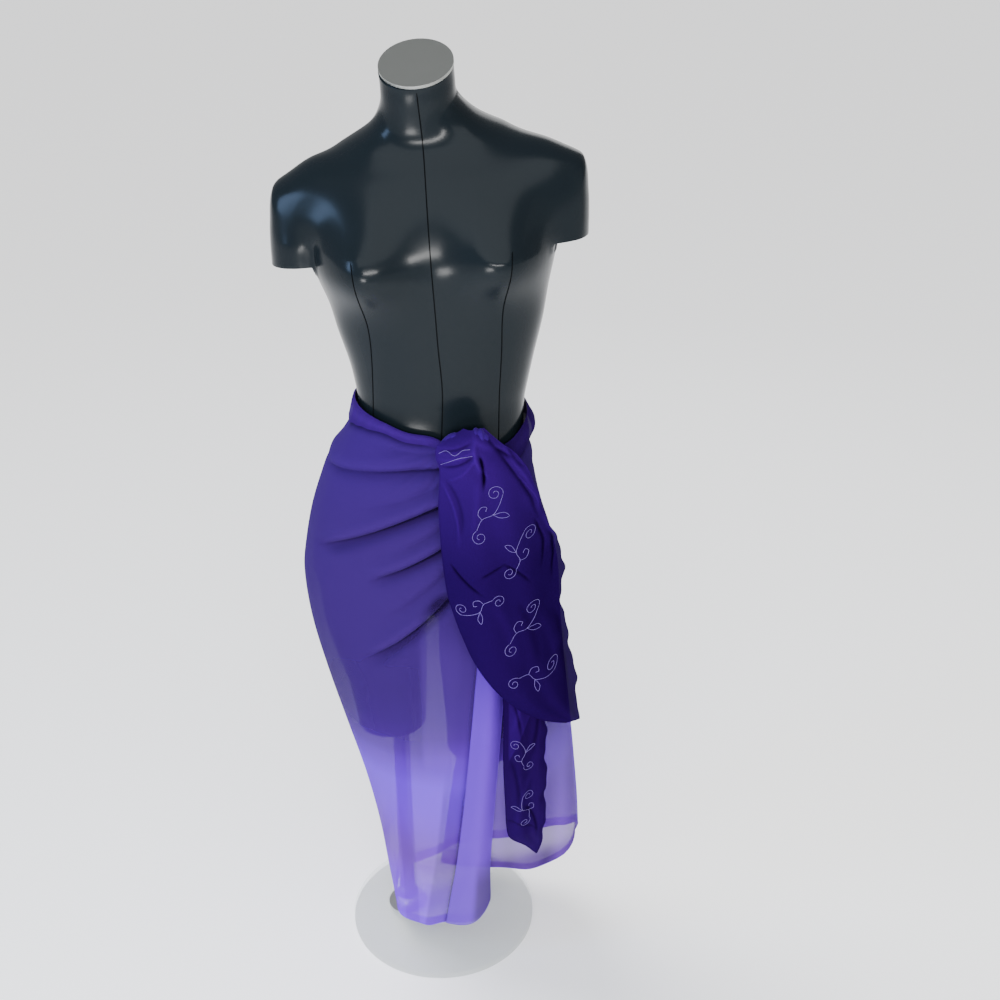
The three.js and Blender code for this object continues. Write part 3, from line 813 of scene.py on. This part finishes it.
PLEAT = Table("z groove fold under", [
    (40, 4, 78, -15),
    (134, 17, 80, -5),
    (209, 27, 80, 3),
    (324, 39, 86, 17),
    (425, 48, 93, 32),
    (531, 57, 100, 48),
    (601, 62, 102, 58),
    (760, 54, 102, 62),
    (960, 40, 96, 60),
])
PLEAT_RELIEF = {"fade": (690, 580), "bulge": 12, "skew": 1.4, "groove": 3, "width": 14, "turn": 8}
UNDERLAP = {"from": (308, 332), "layer": 5.6, "recess": 17, "recess_from": (268, 330), "low": (350, 60)}
HIP_FOLDS = [
    # x0, z0, x1, z1, sag, depth, width, fade at the far end
    (12, 863, -150, 842, -2, 6.0, 6, 0.12),
    (12, 809, -165, 731, 0, 10.0, 7, 0.22),
    (16, 749, -95, 697, 5, 8.5, 7, 0.4),
    (20, 668, -105, 574, 10, 10.5, 8, 0.35),
    (12, 885, -90, 893, 3, 2.0, 5, 0.5),
    (10, 838, -110, 800, 4, 1.8, 7, 0.6),
    (12, 778, -60, 742, 3, 2.2, 6, 0.6),
    (18, 712, -80, 640, 6, 2.2, 8, 0.6),
]
PIT = {"x": 10, "z": 672, "slope": 1.0, "long": 24, "wide": 9, "depth": 8}
# A crease is steep on its upper side, where a roll hangs over it: parts of the fold's width.
CREASE = {"upper": 0.7, "lower": 1.7, "roll_at": 2.2, "roll": 1.8, "swell": 0.6}
# Painted shade in each crease and a painted highlight on its roll: how dark and light they get,
# and the depths at which the crease's painted shadow and its thin dark line are full.
CREASE_TONE = {"dark": 0.75, "light": 0.16, "faint": 0.35, "full": 9, "line": 5}
BACK_FOLDS = [
    # angle, z, tilt, reach in degrees, depth, width
    (150, 876, -0.9, 26, 3.4, 7),
    (172, 820, -0.8, 34, 3.8, 8),
    (205, 862, 0.8, 26, 3.4, 7),
    (232, 800, 0.9, 34, 3.6, 8),
    (196, 740, -0.4, 40, 2.8, 9),
    (256, 856, 0.9, 18, 2.8, 7),
]
FLUTES = [
    # angle, width, out, top
    (62, 11, 4, 430),
    (118, 13, 6, 460),
    (146, 12, -5, 420),
    (172, 14, 7, 480),
    (200, 12, -6, 430),
    (226, 13, 7, 470),
    (252, 11, -5, 400),
    (300, 10, 9, 420),
    (322, 9, -8, 400),
    (34, 5, 2.2, 380),
    (84, 6, -2.0, 330),
    (104, 4, 1.8, 300),
    (134, 4, -2.0, 340),
    (160, 5, 2.0, 320),
    (187, 4, -2.2, 350),
    (214, 5, 2.0, 300),
    (240, 4, -2.0, 330),
    (268, 5, 2.2, 420),
    (284, 4, -2.4, 400),
]
FLUTE_LOW = 90
KNOT_CENTRE = (44, 900)
GATHERS = {"height": 0.75, "near": (18, 45), "far": (170, 55)}
# Rows and columns of the skirt lie closer together on the hip and in front.
SKIRT_GRID = (380, 260)
GRID_COLUMNS = ((0.0, 0.50, 0.60, 1.0), (0.0, 0.36, 0.45, 1.0))
GRID_ROWS = ((0.0, 0.25, 0.36, 1.0), (0.0, 0.45, 0.56, 1.0))
# Round the body in degrees: the front with the hip's folds, and the back.
FRONT_LEFT = ((-75, -40), (125, 95))
BACK = ((100, 130), (300, 272))


def middle_and_half(section):
    return (section["left"] + section["right"]) / 2, (section["right"] - section["left"]) / 2


def angle_at(x, section):
    middle, half = middle_and_half(section)
    share = np.clip((x - middle) / half, -0.98, 0.98)
    return -np.degrees(np.arcsin(signed_power(share, ROUNDNESS / 2)))


def hip_relief(x, z):
    """How far the hip's folds stand out, and their painted shade: dark in the creases and in the
    pit by the knot, with a painted highlight on each roll.
    """
    out, dark = np.zeros_like(x), np.zeros_like(x)
    for x0, z0, x1, z1, sag, depth, width, fade in HIP_FOLDS:
        t = (x - x1) / (x0 - x1)
        reach = smooth(0, fade, t) * smooth(1.22, 1.02, t)
        away = z - (mix(z1, z0, t) - sag * 4 * t * (1 - t))
        steep = bell(away, CREASE["upper"] * width)
        trough = np.where(away > 0, steep, bell(away, CREASE["lower"] * width))
        roll = bell(away - CREASE["roll_at"] * width, CREASE["roll"] * width)
        out += depth * reach * (CREASE["swell"] * roll - trough)
        full = min(depth / CREASE_TONE["full"], 1)
        faint = mix(CREASE_TONE["faint"], 1, smooth(0, 1, t)) * full
        shadow = np.where(away > 0, bell(away, 0.25 * width), bell(away, 1.3 * width))
        line = np.where(away > 0, bell(away, 1.5), bell(away, 2.6))
        tone = shadow + line * min(depth / CREASE_TONE["line"], 1)
        dark += CREASE_TONE["dark"] * reach * faint * tone
        dark -= CREASE_TONE["light"] * reach * full * bell(away - 1.7 * width, 1.2 * width)
    # A hollow by the knot, dented in and painted dark as shade.
    dx, dz = x - PIT["x"], z - PIT["z"]
    long = math.hypot(1, PIT["slope"])
    along, across = (dx + PIT["slope"] * dz) / long, (PIT["slope"] * dx - dz) / long
    pit = bell(along, PIT["long"]) * bell(across, PIT["wide"])
    return out - PIT["depth"] * pit, dark + pit


def gathers(x, z):
    """Fine tension lines that spread out from the knot."""
    dx, dz = x - KNOT_CENTRE[0], z - KNOT_CENTRE[1]
    turn = np.arctan2(dz, -dx)
    wave = np.sin(15 * turn + 0.6) + 0.6 * np.sin(31 * turn + 2.0) + 0.4 * np.sin(47 * turn)
    return GATHERS["height"] * wave * within(np.hypot(dx, dz), GATHERS["near"], GATHERS["far"])


def back_relief(angle, z):
    out = np.zeros_like(z)
    for centre, level, tilt, reach, depth, width in BACK_FOLDS:
        offset = z - level - tilt * (angle - centre)
        out += depth * bell(angle - centre, reach) * (
            0.5 * bell(offset - 2 * width, 1.8 * width) - bell(offset, width)
        )
    return out


def skirt_point(angle, z, inset=0.0):
    """A point of the skirt's outer face. inset moves it inwards."""
    section = SKIRT.at(z)
    middle, half = middle_and_half(section)
    turn = np.radians(angle)
    side, forward = -np.sin(turn), -np.cos(turn)
    depth = np.where(forward < 0, section["front"], section["back"])
    x = middle + half * signed_power(side, 2 / ROUNDNESS)
    y = depth * signed_power(forward, 2 / ROUNDNESS)
    long = np.hypot(side * depth, forward * half)
    nx, ny = side * depth / long, forward * half / long

    out = -inset - UNDERLAP["layer"] * smooth(*UNDERLAP["from"], angle)
    out = out + within(angle, *FRONT_LEFT) * (hip_relief(x, z)[0] + gathers(x, z))
    out = out + within(angle, *BACK) * back_relief(angle, z)
    for centre, width, height, top in FLUTES:
        out = out + height * bell(angle - centre, width) * smooth(top, FLUTE_LOW, z)
    x = x + nx * out
    y = y + ny * out
    room = smooth(*UNDERLAP["low"], z)
    y = y + UNDERLAP["recess"] * smooth(*UNDERLAP["recess_from"], angle) * room

    pleat = PLEAT.at(z)
    fade = smooth(*PLEAT_RELIEF["fade"], z)
    t = (x - pleat["groove"]) / (pleat["fold"] - pleat["groove"])
    bulge = np.sin(np.pi * np.clip(t, 0, 1) ** PLEAT_RELIEF["skew"])
    groove = bell(x - pleat["groove"] + 4, PLEAT_RELIEF["width"])
    shift = fade * (PLEAT_RELIEF["groove"] * groove - PLEAT_RELIEF["bulge"] * bulge)
    shift = shift + PLEAT_RELIEF["turn"] * room * smooth(0.84, 1.06, t) ** 2
    y = y + np.where(angle < 120, shift, 0)
    return np.stack([x, y, z], axis=-1)


def skirt_grid(columns, rows):
    share, upward = np.meshgrid(
        np.interp(np.linspace(0, 1, columns), *GRID_COLUMNS),
        np.interp(np.linspace(0, 1, rows), *GRID_ROWS),
    )
    spread = share - 0.03 * np.sin(2 * np.pi * share)
    angle = mix(-12, 356, spread)
    for _ in range(5):
        edges = EDGES.at(angle)
        z = mix(edges["hem"], edges["top"], upward)
        section, pleat = SKIRT.at(z), PLEAT.at(z)
        angle = mix(
            angle_at(pleat["fold"], section), 360 + angle_at(pleat["under"], section), spread
        )
    return skirt_point(angle, z), angle


WAIST_FOLD = {"from": -4, "to": 314, "height": 30, "near_knot": 12, "lift": 2.2, "flare": 1.6}
# Round the body, the fold is narrow near the knot and widens between these angles.
WAIST_WIDENS = (25, 85)
WAIST_BULGES = [(90, 14, 1), (272, 12, 8)]
WAIST_GRID = (420, 34)
# The fold's upper line is this far above the skirt's edge.
FOLD_OVER = 2.2


def waist_height(angle):
    wide = smooth(*WAIST_WIDENS, angle)
    uneven = 1.4 * np.sin(angle * 0.19) + 0.9 * np.sin(angle * 0.43 + 1)
    return mix(WAIST_FOLD["near_knot"], WAIST_FOLD["height"], wide) + uneven * wide


def greyed(shade, turns):
    """Several turns of the sheer cloth over each other look greyer than one."""
    return shade[..., None] * (1 + turns[..., None] * np.array([-0.1, 0.75, -0.42]))


def stripe(x, z, angle):
    """A band in front, painted darker where the dark rod behind shows through the cloth."""
    return within(x, (-60, -56), (-33, -37)) * smooth(140, 120, angle) * smooth(425, 385, z)


def skirt_shade(points, angle):
    """Painted shade and light for each point: painted shade in creases, grooves and hollows, under
    the turned edge and on the side away from the light, painted light on rolls and between the
    thighs, where no dark form lies behind, and darker, greyer cloth where more cloth lies behind.
    """
    x, z = points[..., 0], points[..., 2]
    # Painted shade in the creases of the hip's folds and of the back's, and painted highlights on their
    # rolls.
    dark = within(angle, *FRONT_LEFT) * hip_relief(x, z)[1]
    back = within(angle, *BACK) * back_relief(angle, z)
    dark = dark + 0.16 * np.maximum(-back, 0) - 0.1 * np.maximum(back, 0)

    # Painted shade under the turned-down edge, and a painted shadow just below it.
    above = z - (EDGES.at(angle)["top"] + FOLD_OVER - waist_height(angle))
    folded = within(angle, (-4, 8), (318, 306))
    dark = dark + folded * np.where(above > 0, 0.8, 0.8 * bell(above, 7))

    # Painted shade in the pleat's groove and under its outer layer, and a darker strip on its left.
    near = x - PLEAT.at(z)["groove"]
    front = smooth(130, 110, angle) * smooth(690, 620, z)
    dark = dark + front * 0.6 * np.where(near < 2, bell(near - 2, 5), 0.5)
    dark = dark + front * 0.5 * within(near, (-34, -28), (6, 0)) * smooth(420, 330, z)

    # Painted shade on the wearer's left, the side away from the light. The lobe of the inner layer
    # there is darker where more cloth overlaps; of its three bands, two are painted fold shade and
    # one is painted light.
    dark = dark + 0.5 * smooth(240, 275, angle) * smooth(480, 600, z)
    lobe = smooth(268, 286, angle)
    dark = dark + lobe * (0.47 + 0.25 * smooth(250, 180, z)) * smooth(450, 330, z)
    bands = 0.22 * bell(x - 168, 10) - 0.2 * bell(x - 190, 9) + 0.2 * bell(x - 108, 12)
    dark = dark + lobe * smooth(430, 330, z) * bands

    # Painted light between the thighs, where nothing dark lies behind the cloth and light comes
    # through.
    open_front = smooth(-20, -12, x) * smooth(140, 120, angle)
    dark = dark - 0.5 * open_front * within(z, (660, 570), (400, 440))
    # The band over the rod, painted darker.
    dark = dark + 0.3 * stripe(x, z, angle)
    # Painted highlights on the flutes that stand out, painted shade on those that sink in.
    for centre, width, height, top in FLUTES:
        dark = dark - 0.012 * height * bell(angle - centre, width * 0.8) * smooth(top, FLUTE_LOW, z)
    turns = 0.9 * lobe * smooth(450, 350, z) + 0.9 * smooth(140, 110, angle) * bell(z - 215, 75)
    return greyed(np.clip(1 - 0.72 * dark, 0.18, 1.4), turns)


def skirt_gaps(points, angle):
    """How open the weave looks: less where further turns of cloth lie behind it."""
    x, z = points[..., 0], points[..., 2]
    inner = smooth(272, 292, angle) * smooth(430, 260, z) * (0.2 + 0.6 * smooth(235, 190, z))
    second = smooth(140, 100, angle) * bell(z - 178 - 0.42 * (x + 60), 26) * smooth(60, 20, x)
    side = smooth(235, 262, angle) * smooth(470, 540, z)
    # fold here is the band over the rod from stripe: its weave is closed further, with its painted
    # shade.
    fold = stripe(x, z, angle) * smooth(30, 70, z)
    return 1 - inner - 0.45 * second * (1 - fold) - 0.4 * fold - 0.85 * side


skirt_points, skirt_angles = skirt_grid(*SKIRT_GRID)
skirt = make_sheet(
    "sarong_skirt",
    skirt_points,
    skirt_cloth,
    skirt_shade(skirt_points, skirt_angles),
    skirt_gaps(skirt_points, skirt_angles),
)
finish_piece(skirt, "cloth_pale", "skirt_wrap")

# A narrow turned hem along the skirt's lower edge, just inside it, and down its front edge.
HEM = {"rows": 4, "inset": 0.35, "roll": 0.5}
inside = skirt_points - grid_normals(skirt_points) * HEM["inset"]
hem = finish_piece(make_sheet("skirt_hem", inside[: HEM["rows"]], skirt_cloth), "cloth_pale")
hem_paths = [skirt_points[0, ::3], skirt_points[::3, 0]]
rolled = finish_piece(tube("skirt_hem_roll", hem_paths, HEM["roll"], skirt_cloth), "cloth_pale")

# The pleat's outer layer: it lies on the skirt from the pleat's groove to its outer fold.
PANEL = {"top": 690, "bottom": 46, "seat": 0.5, "lift": 2.4, "swell": 1.5, "drop": 1}
PANEL_PAST = {"groove": 2, "fold": 0.5}
PANEL_GRID = (60, 240)


def panel_grid(columns, rows):
    across, up = np.meshgrid(1 - np.linspace(0, 1, columns), np.linspace(0, 1, rows))
    z = mix(PANEL["bottom"], PANEL["top"], up)
    for _ in range(4):
        section, pleat = SKIRT.at(z), PLEAT.at(z)
        left, right = pleat["groove"] + PANEL_PAST["groove"], pleat["fold"] + PANEL_PAST["fold"]
        angle = angle_at(mix(left, right, across), section)
        z = mix(EDGES.at(angle)["hem"] - PANEL["drop"], PANEL["top"], up)
    lift = PANEL["seat"] + PANEL["lift"] * smooth(1.0, 0.6, across) * smooth(660, 560, z)
    lift = lift + PANEL["swell"] * np.sin(np.pi * across) * smooth(560, 300, z)
    return skirt_point(angle, z, -lift)


def panel_shade(points):
    """Further turns lie behind the lower part of the panel, on the right."""
    right = smooth(0.5, 0.3, np.linspace(0, 1, points.shape[1]))[None, :]
    turns = right * smooth(250, 170, points[..., 2])
    return greyed(1 - 0.36 * turns, 0.9 * turns)


panel_points = panel_grid(*PANEL_GRID)
panel = make_sheet("sarong_panel", panel_points, panel_cloth, panel_shade(panel_points))
finish_piece(panel, "cloth_pale")
panel_paths = [panel_points[::3, -1], panel_points[0, ::3]]
panel_edge = finish_piece(tube("sarong_panel_edge", panel_paths, 0.45, panel_cloth), "cloth_pale")

# ---------------- the turned-down waist edge


def waist_grid(columns, rows):
    angle, down = np.meshgrid(
        np.linspace(WAIST_FOLD["from"], WAIST_FOLD["to"], columns), 1 - np.linspace(0, 1, rows)
    )
    z = EDGES.at(angle)["top"] + FOLD_OVER - waist_height(angle) * down
    flare = WAIST_FOLD["flare"] * down * smooth(*WAIST_WIDENS, angle)
    away = WAIST_FOLD["lift"] + flare
    swell = np.sin(np.pi * down)
    for centre, width, out in WAIST_BULGES:
        away = away + out * bell(angle - centre, width) * swell
    away = away + 0.5 * np.sin(angle * 0.55) * swell
    free = smooth(-0.02, 0.12, down)
    return skirt_point(angle, z, -(away * free + 0.35 * (1 - free))), angle


waist_points, waist_angles = waist_grid(*WAIST_GRID)
# Painted light on the turned edge: a painted highlight along the middle of its roll, and a darker
# wearer's left, partly for more layers and partly painted shade on the side away from the light.
painted_roll_highlight = 0.22 * np.sin(np.pi * np.linspace(0, 1, WAIST_GRID[1]))[:, None] ** 3
waist_shade = (0.86 - 0.42 * smooth(245, 285, waist_angles)) * (1 + painted_roll_highlight)
waist = make_sheet("sarong_waist_fold", waist_points, waist_cloth, waist_shade)
finish_piece(waist, "cloth_dark", "waist_fold")

# ---------------- the tails

TAIL_FRONT = Table("z left right lift y_left y_mid y_right", [
    (928, 48, 74, 0, -110, -117, -108),
    (921, 34, 82, -1, -120, -131, -109),
    (911, 15, 95, -3, -128, -140, -108),
    (897, 12.5, 108, 0, -130, -143, -106),
    (880, 17, 119, 7, -131, -144, -105),
    (857, 16.5, 131, 14, -134, -145, -104),
    (832, 15, 140, 14, -137, -147, -102),
    (800, 16, 151, 11, -142, -153, -98),
    (755, 19, 170, 5, -148, -157, -82),
    (705, 25, 185, 0, -152, -159, -63),
    (675, 33, 180, 0, -155, -161, -70),
    (645, 43, 183, 0, -158, -162, -72),
    (601, 61, 190, 0, -161, -163, -76),
    (560, 88, 200, 0, -165, -162, -86),
    (525, 122, 204, 0, -163, -154, -94),
    (495, 157, 207, 0, -145, -132, -102),
    (470, 190, 211, 0, -117, -113, -107),
])
TAIL_BACK = Table("z left right lift y_left y_mid y_right", [
    (888, 40, 70, 0, -93.9, -94.2, -93.7),
    (850, 42, 84, 0, -108, -112, -107),
    (800, 44, 96, 0, -126, -132, -120),
    (700, 66, 128, 0, -137, -142, -124),
    (600, 92, 148, 0, -152, -146, -124),
    (520, 100, 158, 0, -154, -148, -128),
    (430, 100, 161, 0, -155, -150, -130),
    (350, 103, 162, 0, -153, -149, -130),
    (296, 106, 161, 0, -148, -145, -131),
    (280, 112, 160, 0, -146, -143, -132),
    (264, 133, 158, 0, -141, -140, -133),
    (246, 149, 152, 0, -138, -137, -135),
])
TAIL_CREASES = [
    # x0, z0, x1, z1, bow, height, width: soft ridges above 0 and creases below
    (20, 862, 41, 782, 7, 2.6, 3.2),
    (26, 866, 46, 800, 7, -1.4, 3.4),
    (30, 752, 72, 712, -3, -2.6, 2.4),
    (72, 738, 101, 750, 0, -2.2, 2.2),
    (101, 750, 136, 716, 2, -2.2, 2.2),
    (142, 795, 152, 730, 5, -2.6, 2.8),
    (160, 770, 166, 700, 5, -2.8, 2.8),
    (96, 908, 150, 812, 5, 2.6, 3.4),
    (90, 902, 146, 800, 5, -2.4, 2.6),
    (66, 868, 60, 800, 2, 1.4, 7.0),
    (88, 700, 120, 600, 4, 2.0, 9.0),
    (120, 690, 150, 590, 4, -2.2, 7.0),
    (150, 660, 176, 560, 4, 2.2, 7.0),
    (172, 640, 190, 520, 4, -2.2, 5.0),
    (69, 900, 74, 858, 2, -4.6, 2.6),
    (62, 916, 79, 874, -5, 3.4, 4.0),
    (60, 908, 17, 894, 2, 2.2, 3.2),
    (58, 917, 18, 907, 2, -1.8, 2.4),
    (62, 902, 20, 884, 3, -2.0, 2.4),
    (64, 900, 30, 868, 4, 1.6, 3.0),
    (60, 925, 96, 903, -3, 2.6, 4.5),
    (78, 918, 112, 888, -3, -2.4, 2.6),
    (104, 902, 128, 872, -2, -1.8, 2.4),
    (156, 796, 171, 746, 3, 3.6, 3.5),
    (116, 866, 150, 806, 4, 1.8, 2.0),
]

BACK_CREASES = [
    (104, 560, 126, 470, 3, -2.4, 3.0),
    (126, 560, 112, 480, 3, 2.0, 6.0),
    (150, 548, 140, 430, 4, -2.0, 3.5),
    (110, 430, 122, 330, 5, -1.8, 4.0),
    (140, 400, 118, 300, -4, 1.8, 5.0),
    (132, 345, 150, 285, 4, -2.2, 3.0),
    (106, 318, 150, 292, 3, -1.6, 2.4),
]


def crease_relief(x, z, table):
    """How far the tail's ridges stand out, and its painted light: a painted highlight on each
    ridge and painted shade in each crease.
    """
    out, shade = np.zeros_like(x), np.ones_like(x)
    for x0, z0, x1, z1, bow, height, width in table:
        dx, dz = x1 - x0, z1 - z0
        long = math.hypot(dx, dz)
        along = ((x - x0) * dx + (z - z0) * dz) / long**2
        across = ((x - x0) * dz - (z - z0) * dx) / long + bow * 4 * along * (1 - along)
        reach = smooth(-0.12, 0.2, along) * smooth(1.15, 0.7, along)
        out += height * reach * bell(across, width)
        tone = 0.13 if height > 0 else 0.26 * min(1, 3 / width)
        shade += tone * height * reach * bell(across, 0.7 * width)
    return out, np.clip(shade, 0.12, 1.5)


def tail_grid(table, creases, columns, rows, waves, height, begin, ruffle):
    """A hanging tail. Its waves start at the share begin of its width, and its right edge ruffles."""
    right, up = np.meshgrid(1 - np.linspace(0, 1, columns), np.linspace(0, 1, rows))
    row = table.at(mix(table.key[0], table.key[-1], up))
    bow = 4 * right * (1 - right)
    y = mix(row["y_left"], row["y_right"], right)
    y = y + bow * (row["y_mid"] - (row["y_left"] + row["y_right"]) / 2)
    room = smooth(15, 90, row["right"] - row["left"])
    loose = smooth(begin - 0.4, begin + 0.4, right) * (1 - up**3)
    y = y + height * room * loose * np.sin(2 * np.pi * waves * right)
    x = mix(row["left"], row["right"], right)
    z = row["z"] + row["lift"] * right**2
    relief, shade = crease_relief(x, z, creases)
    y = y - relief
    edge = smooth(0.8, 1.0, right) * room * (1 - up**4)
    x = x + edge * ruffle * (np.sin(z * 0.085) + 0.5 * np.sin(z * 0.19 + 1))
    y = y + edge * ruffle * 1.3 * np.cos(z * 0.11)
    return np.stack([x, y, z], axis=-1), shade


TURNED = {"left": 106, "right": 146, "low": 424, "slope": 2.4, "lighter": 0.65}
TAIL_ROLL = 0.6


def turned_corner(points):
    """A patch at the back tail's upper left, where it turns over, is made lighter."""
    x, z = points[..., 0], points[..., 2]
    across = smooth(0, 3, x - TURNED["left"]) * smooth(3, 0, x - TURNED["right"])
    above = z - TURNED["low"] - TURNED["slope"] * (x - TURNED["left"])
    return 1 + TURNED["lighter"] * across * smooth(-3, 3, above)


front_points, front_shade = tail_grid(
    TAIL_FRONT, TAIL_CREASES, columns=250, rows=400, waves=2.5, height=5, begin=0.45, ruffle=2.2
)
tail_front = make_sheet("sarong_tail_front", front_points, tail_cloth, front_shade)
finish_piece(tail_front, "cloth_dark", "tail_front")
back_points, back_shade = tail_grid(
    TAIL_BACK, BACK_CREASES, columns=110, rows=330, waves=2, height=5, begin=0.1, ruffle=3.0
)
back_shade = back_shade * turned_corner(back_points)
tail_back = make_sheet("sarong_tail_back", back_points, tail_back_cloth, back_shade)
finish_piece(tail_back, "cloth_dark", "tail_back")

front_paths = [front_points[::3, -1], front_points[::3, 0]]
front_roll = finish_piece(tube("tail_front_hem", front_paths, TAIL_ROLL, tail_cloth), "cloth_dark")
back_paths = [back_points[::3, -1], back_points[::3, 0], back_points[0, ::3]]
back_roll = finish_piece(tube("tail_back_hem", back_paths, TAIL_ROLL, tail_cloth), "cloth_dark")

# ---------------- the knot

KNOT_LOBES = [
    # x, y, z, wide, depth, tall, turn
    (38, -114.5, 899, 21, 17, 23, -18),
    (64, -112.5, 903, 16, 17, 26, 9),
]
GATHER_POINT = (70, 922)
KNOT_VOXEL = 0.0009
# The knot's left lobe has ridges that run from the gather point, its right one upright ones.
KNOT_RIDGES = {"left": 1.15, "right": 0.8, "border": (58, 50), "near": (6, 22)}


def knot_lobe(x, y, z, wide, depth, tall, turn):
    along = np.linspace(-0.995, 0.995, 60)[:, None]
    girth = np.sqrt(1 - np.abs(along) ** 2.6)
    angle = 2 * np.pi * np.arange(80)[None, :] / 80
    lx = wide * girth * np.cos(angle)
    ly = depth * girth * np.sin(angle)
    lz = tall * along * np.ones_like(angle)
    tilt = math.radians(turn)
    px = x + lx * math.cos(tilt) + lz * math.sin(tilt)
    pz = z - lx * math.sin(tilt) + lz * math.cos(tilt)
    return closed_loft(np.stack([px, y + ly, pz], axis=2))


def knot_ridges(x, z):
    dx, dz = x - GATHER_POINT[0], z - GATHER_POINT[1]
    turn, far = np.arctan2(dz, -dx), np.hypot(dx, dz)
    left = smooth(*KNOT_RIDGES["border"], x)
    ridges = np.sin(9 * turn + 0.03 * far) + 0.5 * np.sin(21 * turn + 1.2)
    out = left * KNOT_RIDGES["left"] * ridges * smooth(*KNOT_RIDGES["near"], far)
    return out + (1 - left) * KNOT_RIDGES["right"] * np.sin((x - 61) * 0.75 + 0.02 * dz)


def build_knot():
    bodies = join_bodies(knot_lobe(*row) for row in KNOT_LOBES)
    piece = make_mesh("sarong_knot", *bodies, knot_cloth)
    add_remesh(piece, KNOT_VOXEL)
    soften = piece.modifiers.new("soften", "SMOOTH")
    soften.factor = 0.5
    soften.iterations = 6
    apply_modifiers(piece)
    mesh = piece.data
    at, normal = vectors(mesh.vertices, "co") / MM, vectors(mesh.vertex_normals, "vector")
    at += normal * knot_ridges(at[:, 0], at[:, 2])[:, None]
    if "shade" not in mesh.color_attributes:
        set_shade(mesh)
    mesh.materials.clear()
    mesh.materials.append(knot_cloth)
    move_points(mesh, at * MM)
    return piece


knot = build_knot()
finish_piece(knot, "cloth_dark", "knot")

# ---------------- raised thread


def spiral(x, z, radius, start, turns, close=0.18, steps=46):
    """A spiral of flat points that starts at the angle start, in degrees, and winds inwards."""
    path = []
    for k in range(steps):
        t = k / (steps - 1)
        reach = radius * (1 - (1 - close) * t)
        turn = math.radians(start) + 2 * math.pi * turns * t
        path.append((x + reach * math.cos(turn), z + reach * math.sin(turn)))
    return path


def curve(points, steps=14):
    """A smooth curve through a few points."""
    points = np.asarray(points, float)
    ends = np.concatenate([[2 * points[0] - points[1]], points, [2 * points[-1] - points[-2]]])
    path = []
    for i in range(1, len(ends) - 2):
        p0, p1, p2, p3 = ends[i - 1], ends[i], ends[i + 1], ends[i + 2]
        slope, bend, twist = p2 - p0, 2 * p0 - 5 * p1 + 4 * p2 - p3, 3 * p1 - p0 - 3 * p2 + p3
        for k in range(steps):
            t = k / steps
            path.append(0.5 * (2 * p1 + slope * t + bend * t**2 + twist * t**3))
    path.append(points[-1])
    return path


def motif(x, z, size, turn, flip=1):
    """A plain scroll: a stem between two spirals, with a leaf and a tendril."""
    parts = [
        curve([(-0.95, -0.32), (-0.5, 0.02), (0.05, -0.05), (0.5, 0.22), (0.9, 0.62)]),
        spiral(-0.96, -0.71, 0.39, 88, 1.45),
        spiral(0.58, 0.87, 0.41, -38, 1.5),
        curve([(0.05, -0.05), (0.3, -0.36), (0.7, -0.52), (0.56, -0.2), (0.05, -0.05)]),
        curve([(-0.5, 0.02), (-0.55, 0.36), (-0.3, 0.58), (-0.06, 0.44), (-0.18, 0.28)]),
    ]
    cosine, sine = math.cos(math.radians(turn)), math.sin(math.radians(turn))

    def placed(u, v):
        return x + size * (cosine * flip * u - sine * v), z + size * (sine * flip * u + cosine * v)

    return [[placed(u, v) for u, v in part] for part in parts]


FRONT_MOTIFS = [
    # x, z, size, turn, flip
    (84, 822, 27, 25, 1),
    (118, 764, 24, -75, -1),
    (68, 690, 23, 60, -1),
    (130, 650, 26, 15, 1),
    (143, 574, 24, -40, 1),
]
KNOT_SCROLLS = [
    curve([(16, 903), (26, 908), (37, 904), (47, 910), (57, 911)]),
    curve([(18, 887), (31, 896), (45, 902), (60, 903)]),
]
BACK_MOTIFS = [(130, 440, 21, 70, 1), (130, 340, 22, -50, -1)]
SCROLLS = [part for row in FRONT_MOTIFS for part in motif(*row)] + KNOT_SCROLLS
BACK_SCROLLS = [part for row in BACK_MOTIFS for part in motif(*row)]


THREAD = {"lift": 0.15, "front": 0.36, "back": 0.32}


def lay_on(piece, paths, lift):
    """Projects flat paths from the front onto a piece."""
    tree = BVHTree.FromObject(piece, bpy.context.evaluated_depsgraph_get())
    laid = []
    for path in paths:
        found = []
        for x, z in path:
            hit = tree.ray_cast(Vector((x * MM, -RAY_START, z * MM)), Vector((0, 1, 0)))
            if hit[0] is not None:
                normal = hit[1] if hit[1].y < 0 else -hit[1]
                found.append(np.array(hit[0] + normal * lift * MM) / MM)
        laid.append(found)
    return laid


bpy.context.view_layer.update()
front_laid = lay_on(tail_front, SCROLLS, THREAD["lift"])
front_thread = tube("tail_front_thread", front_laid, THREAD["front"], thread)
finish_piece(front_thread, "cloth_dark")
back_laid = lay_on(tail_back, BACK_SCROLLS, THREAD["lift"])
back_thread = tube("tail_back_thread", back_laid, THREAD["back"], thread)
finish_piece(back_thread, "cloth_dark")

# ---------------- the stand and the cap


def dress(name, material):
    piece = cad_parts[name]
    if not piece.material_slots:
        piece.data.materials.append(material)
    for slot in piece.material_slots:
        slot.material = material


dress("neck_cap", cap_steel)
dress("stand_rod", rod_chrome)
dress("stand_collar", collar_chrome)
dress("stand_base", clear_glass)
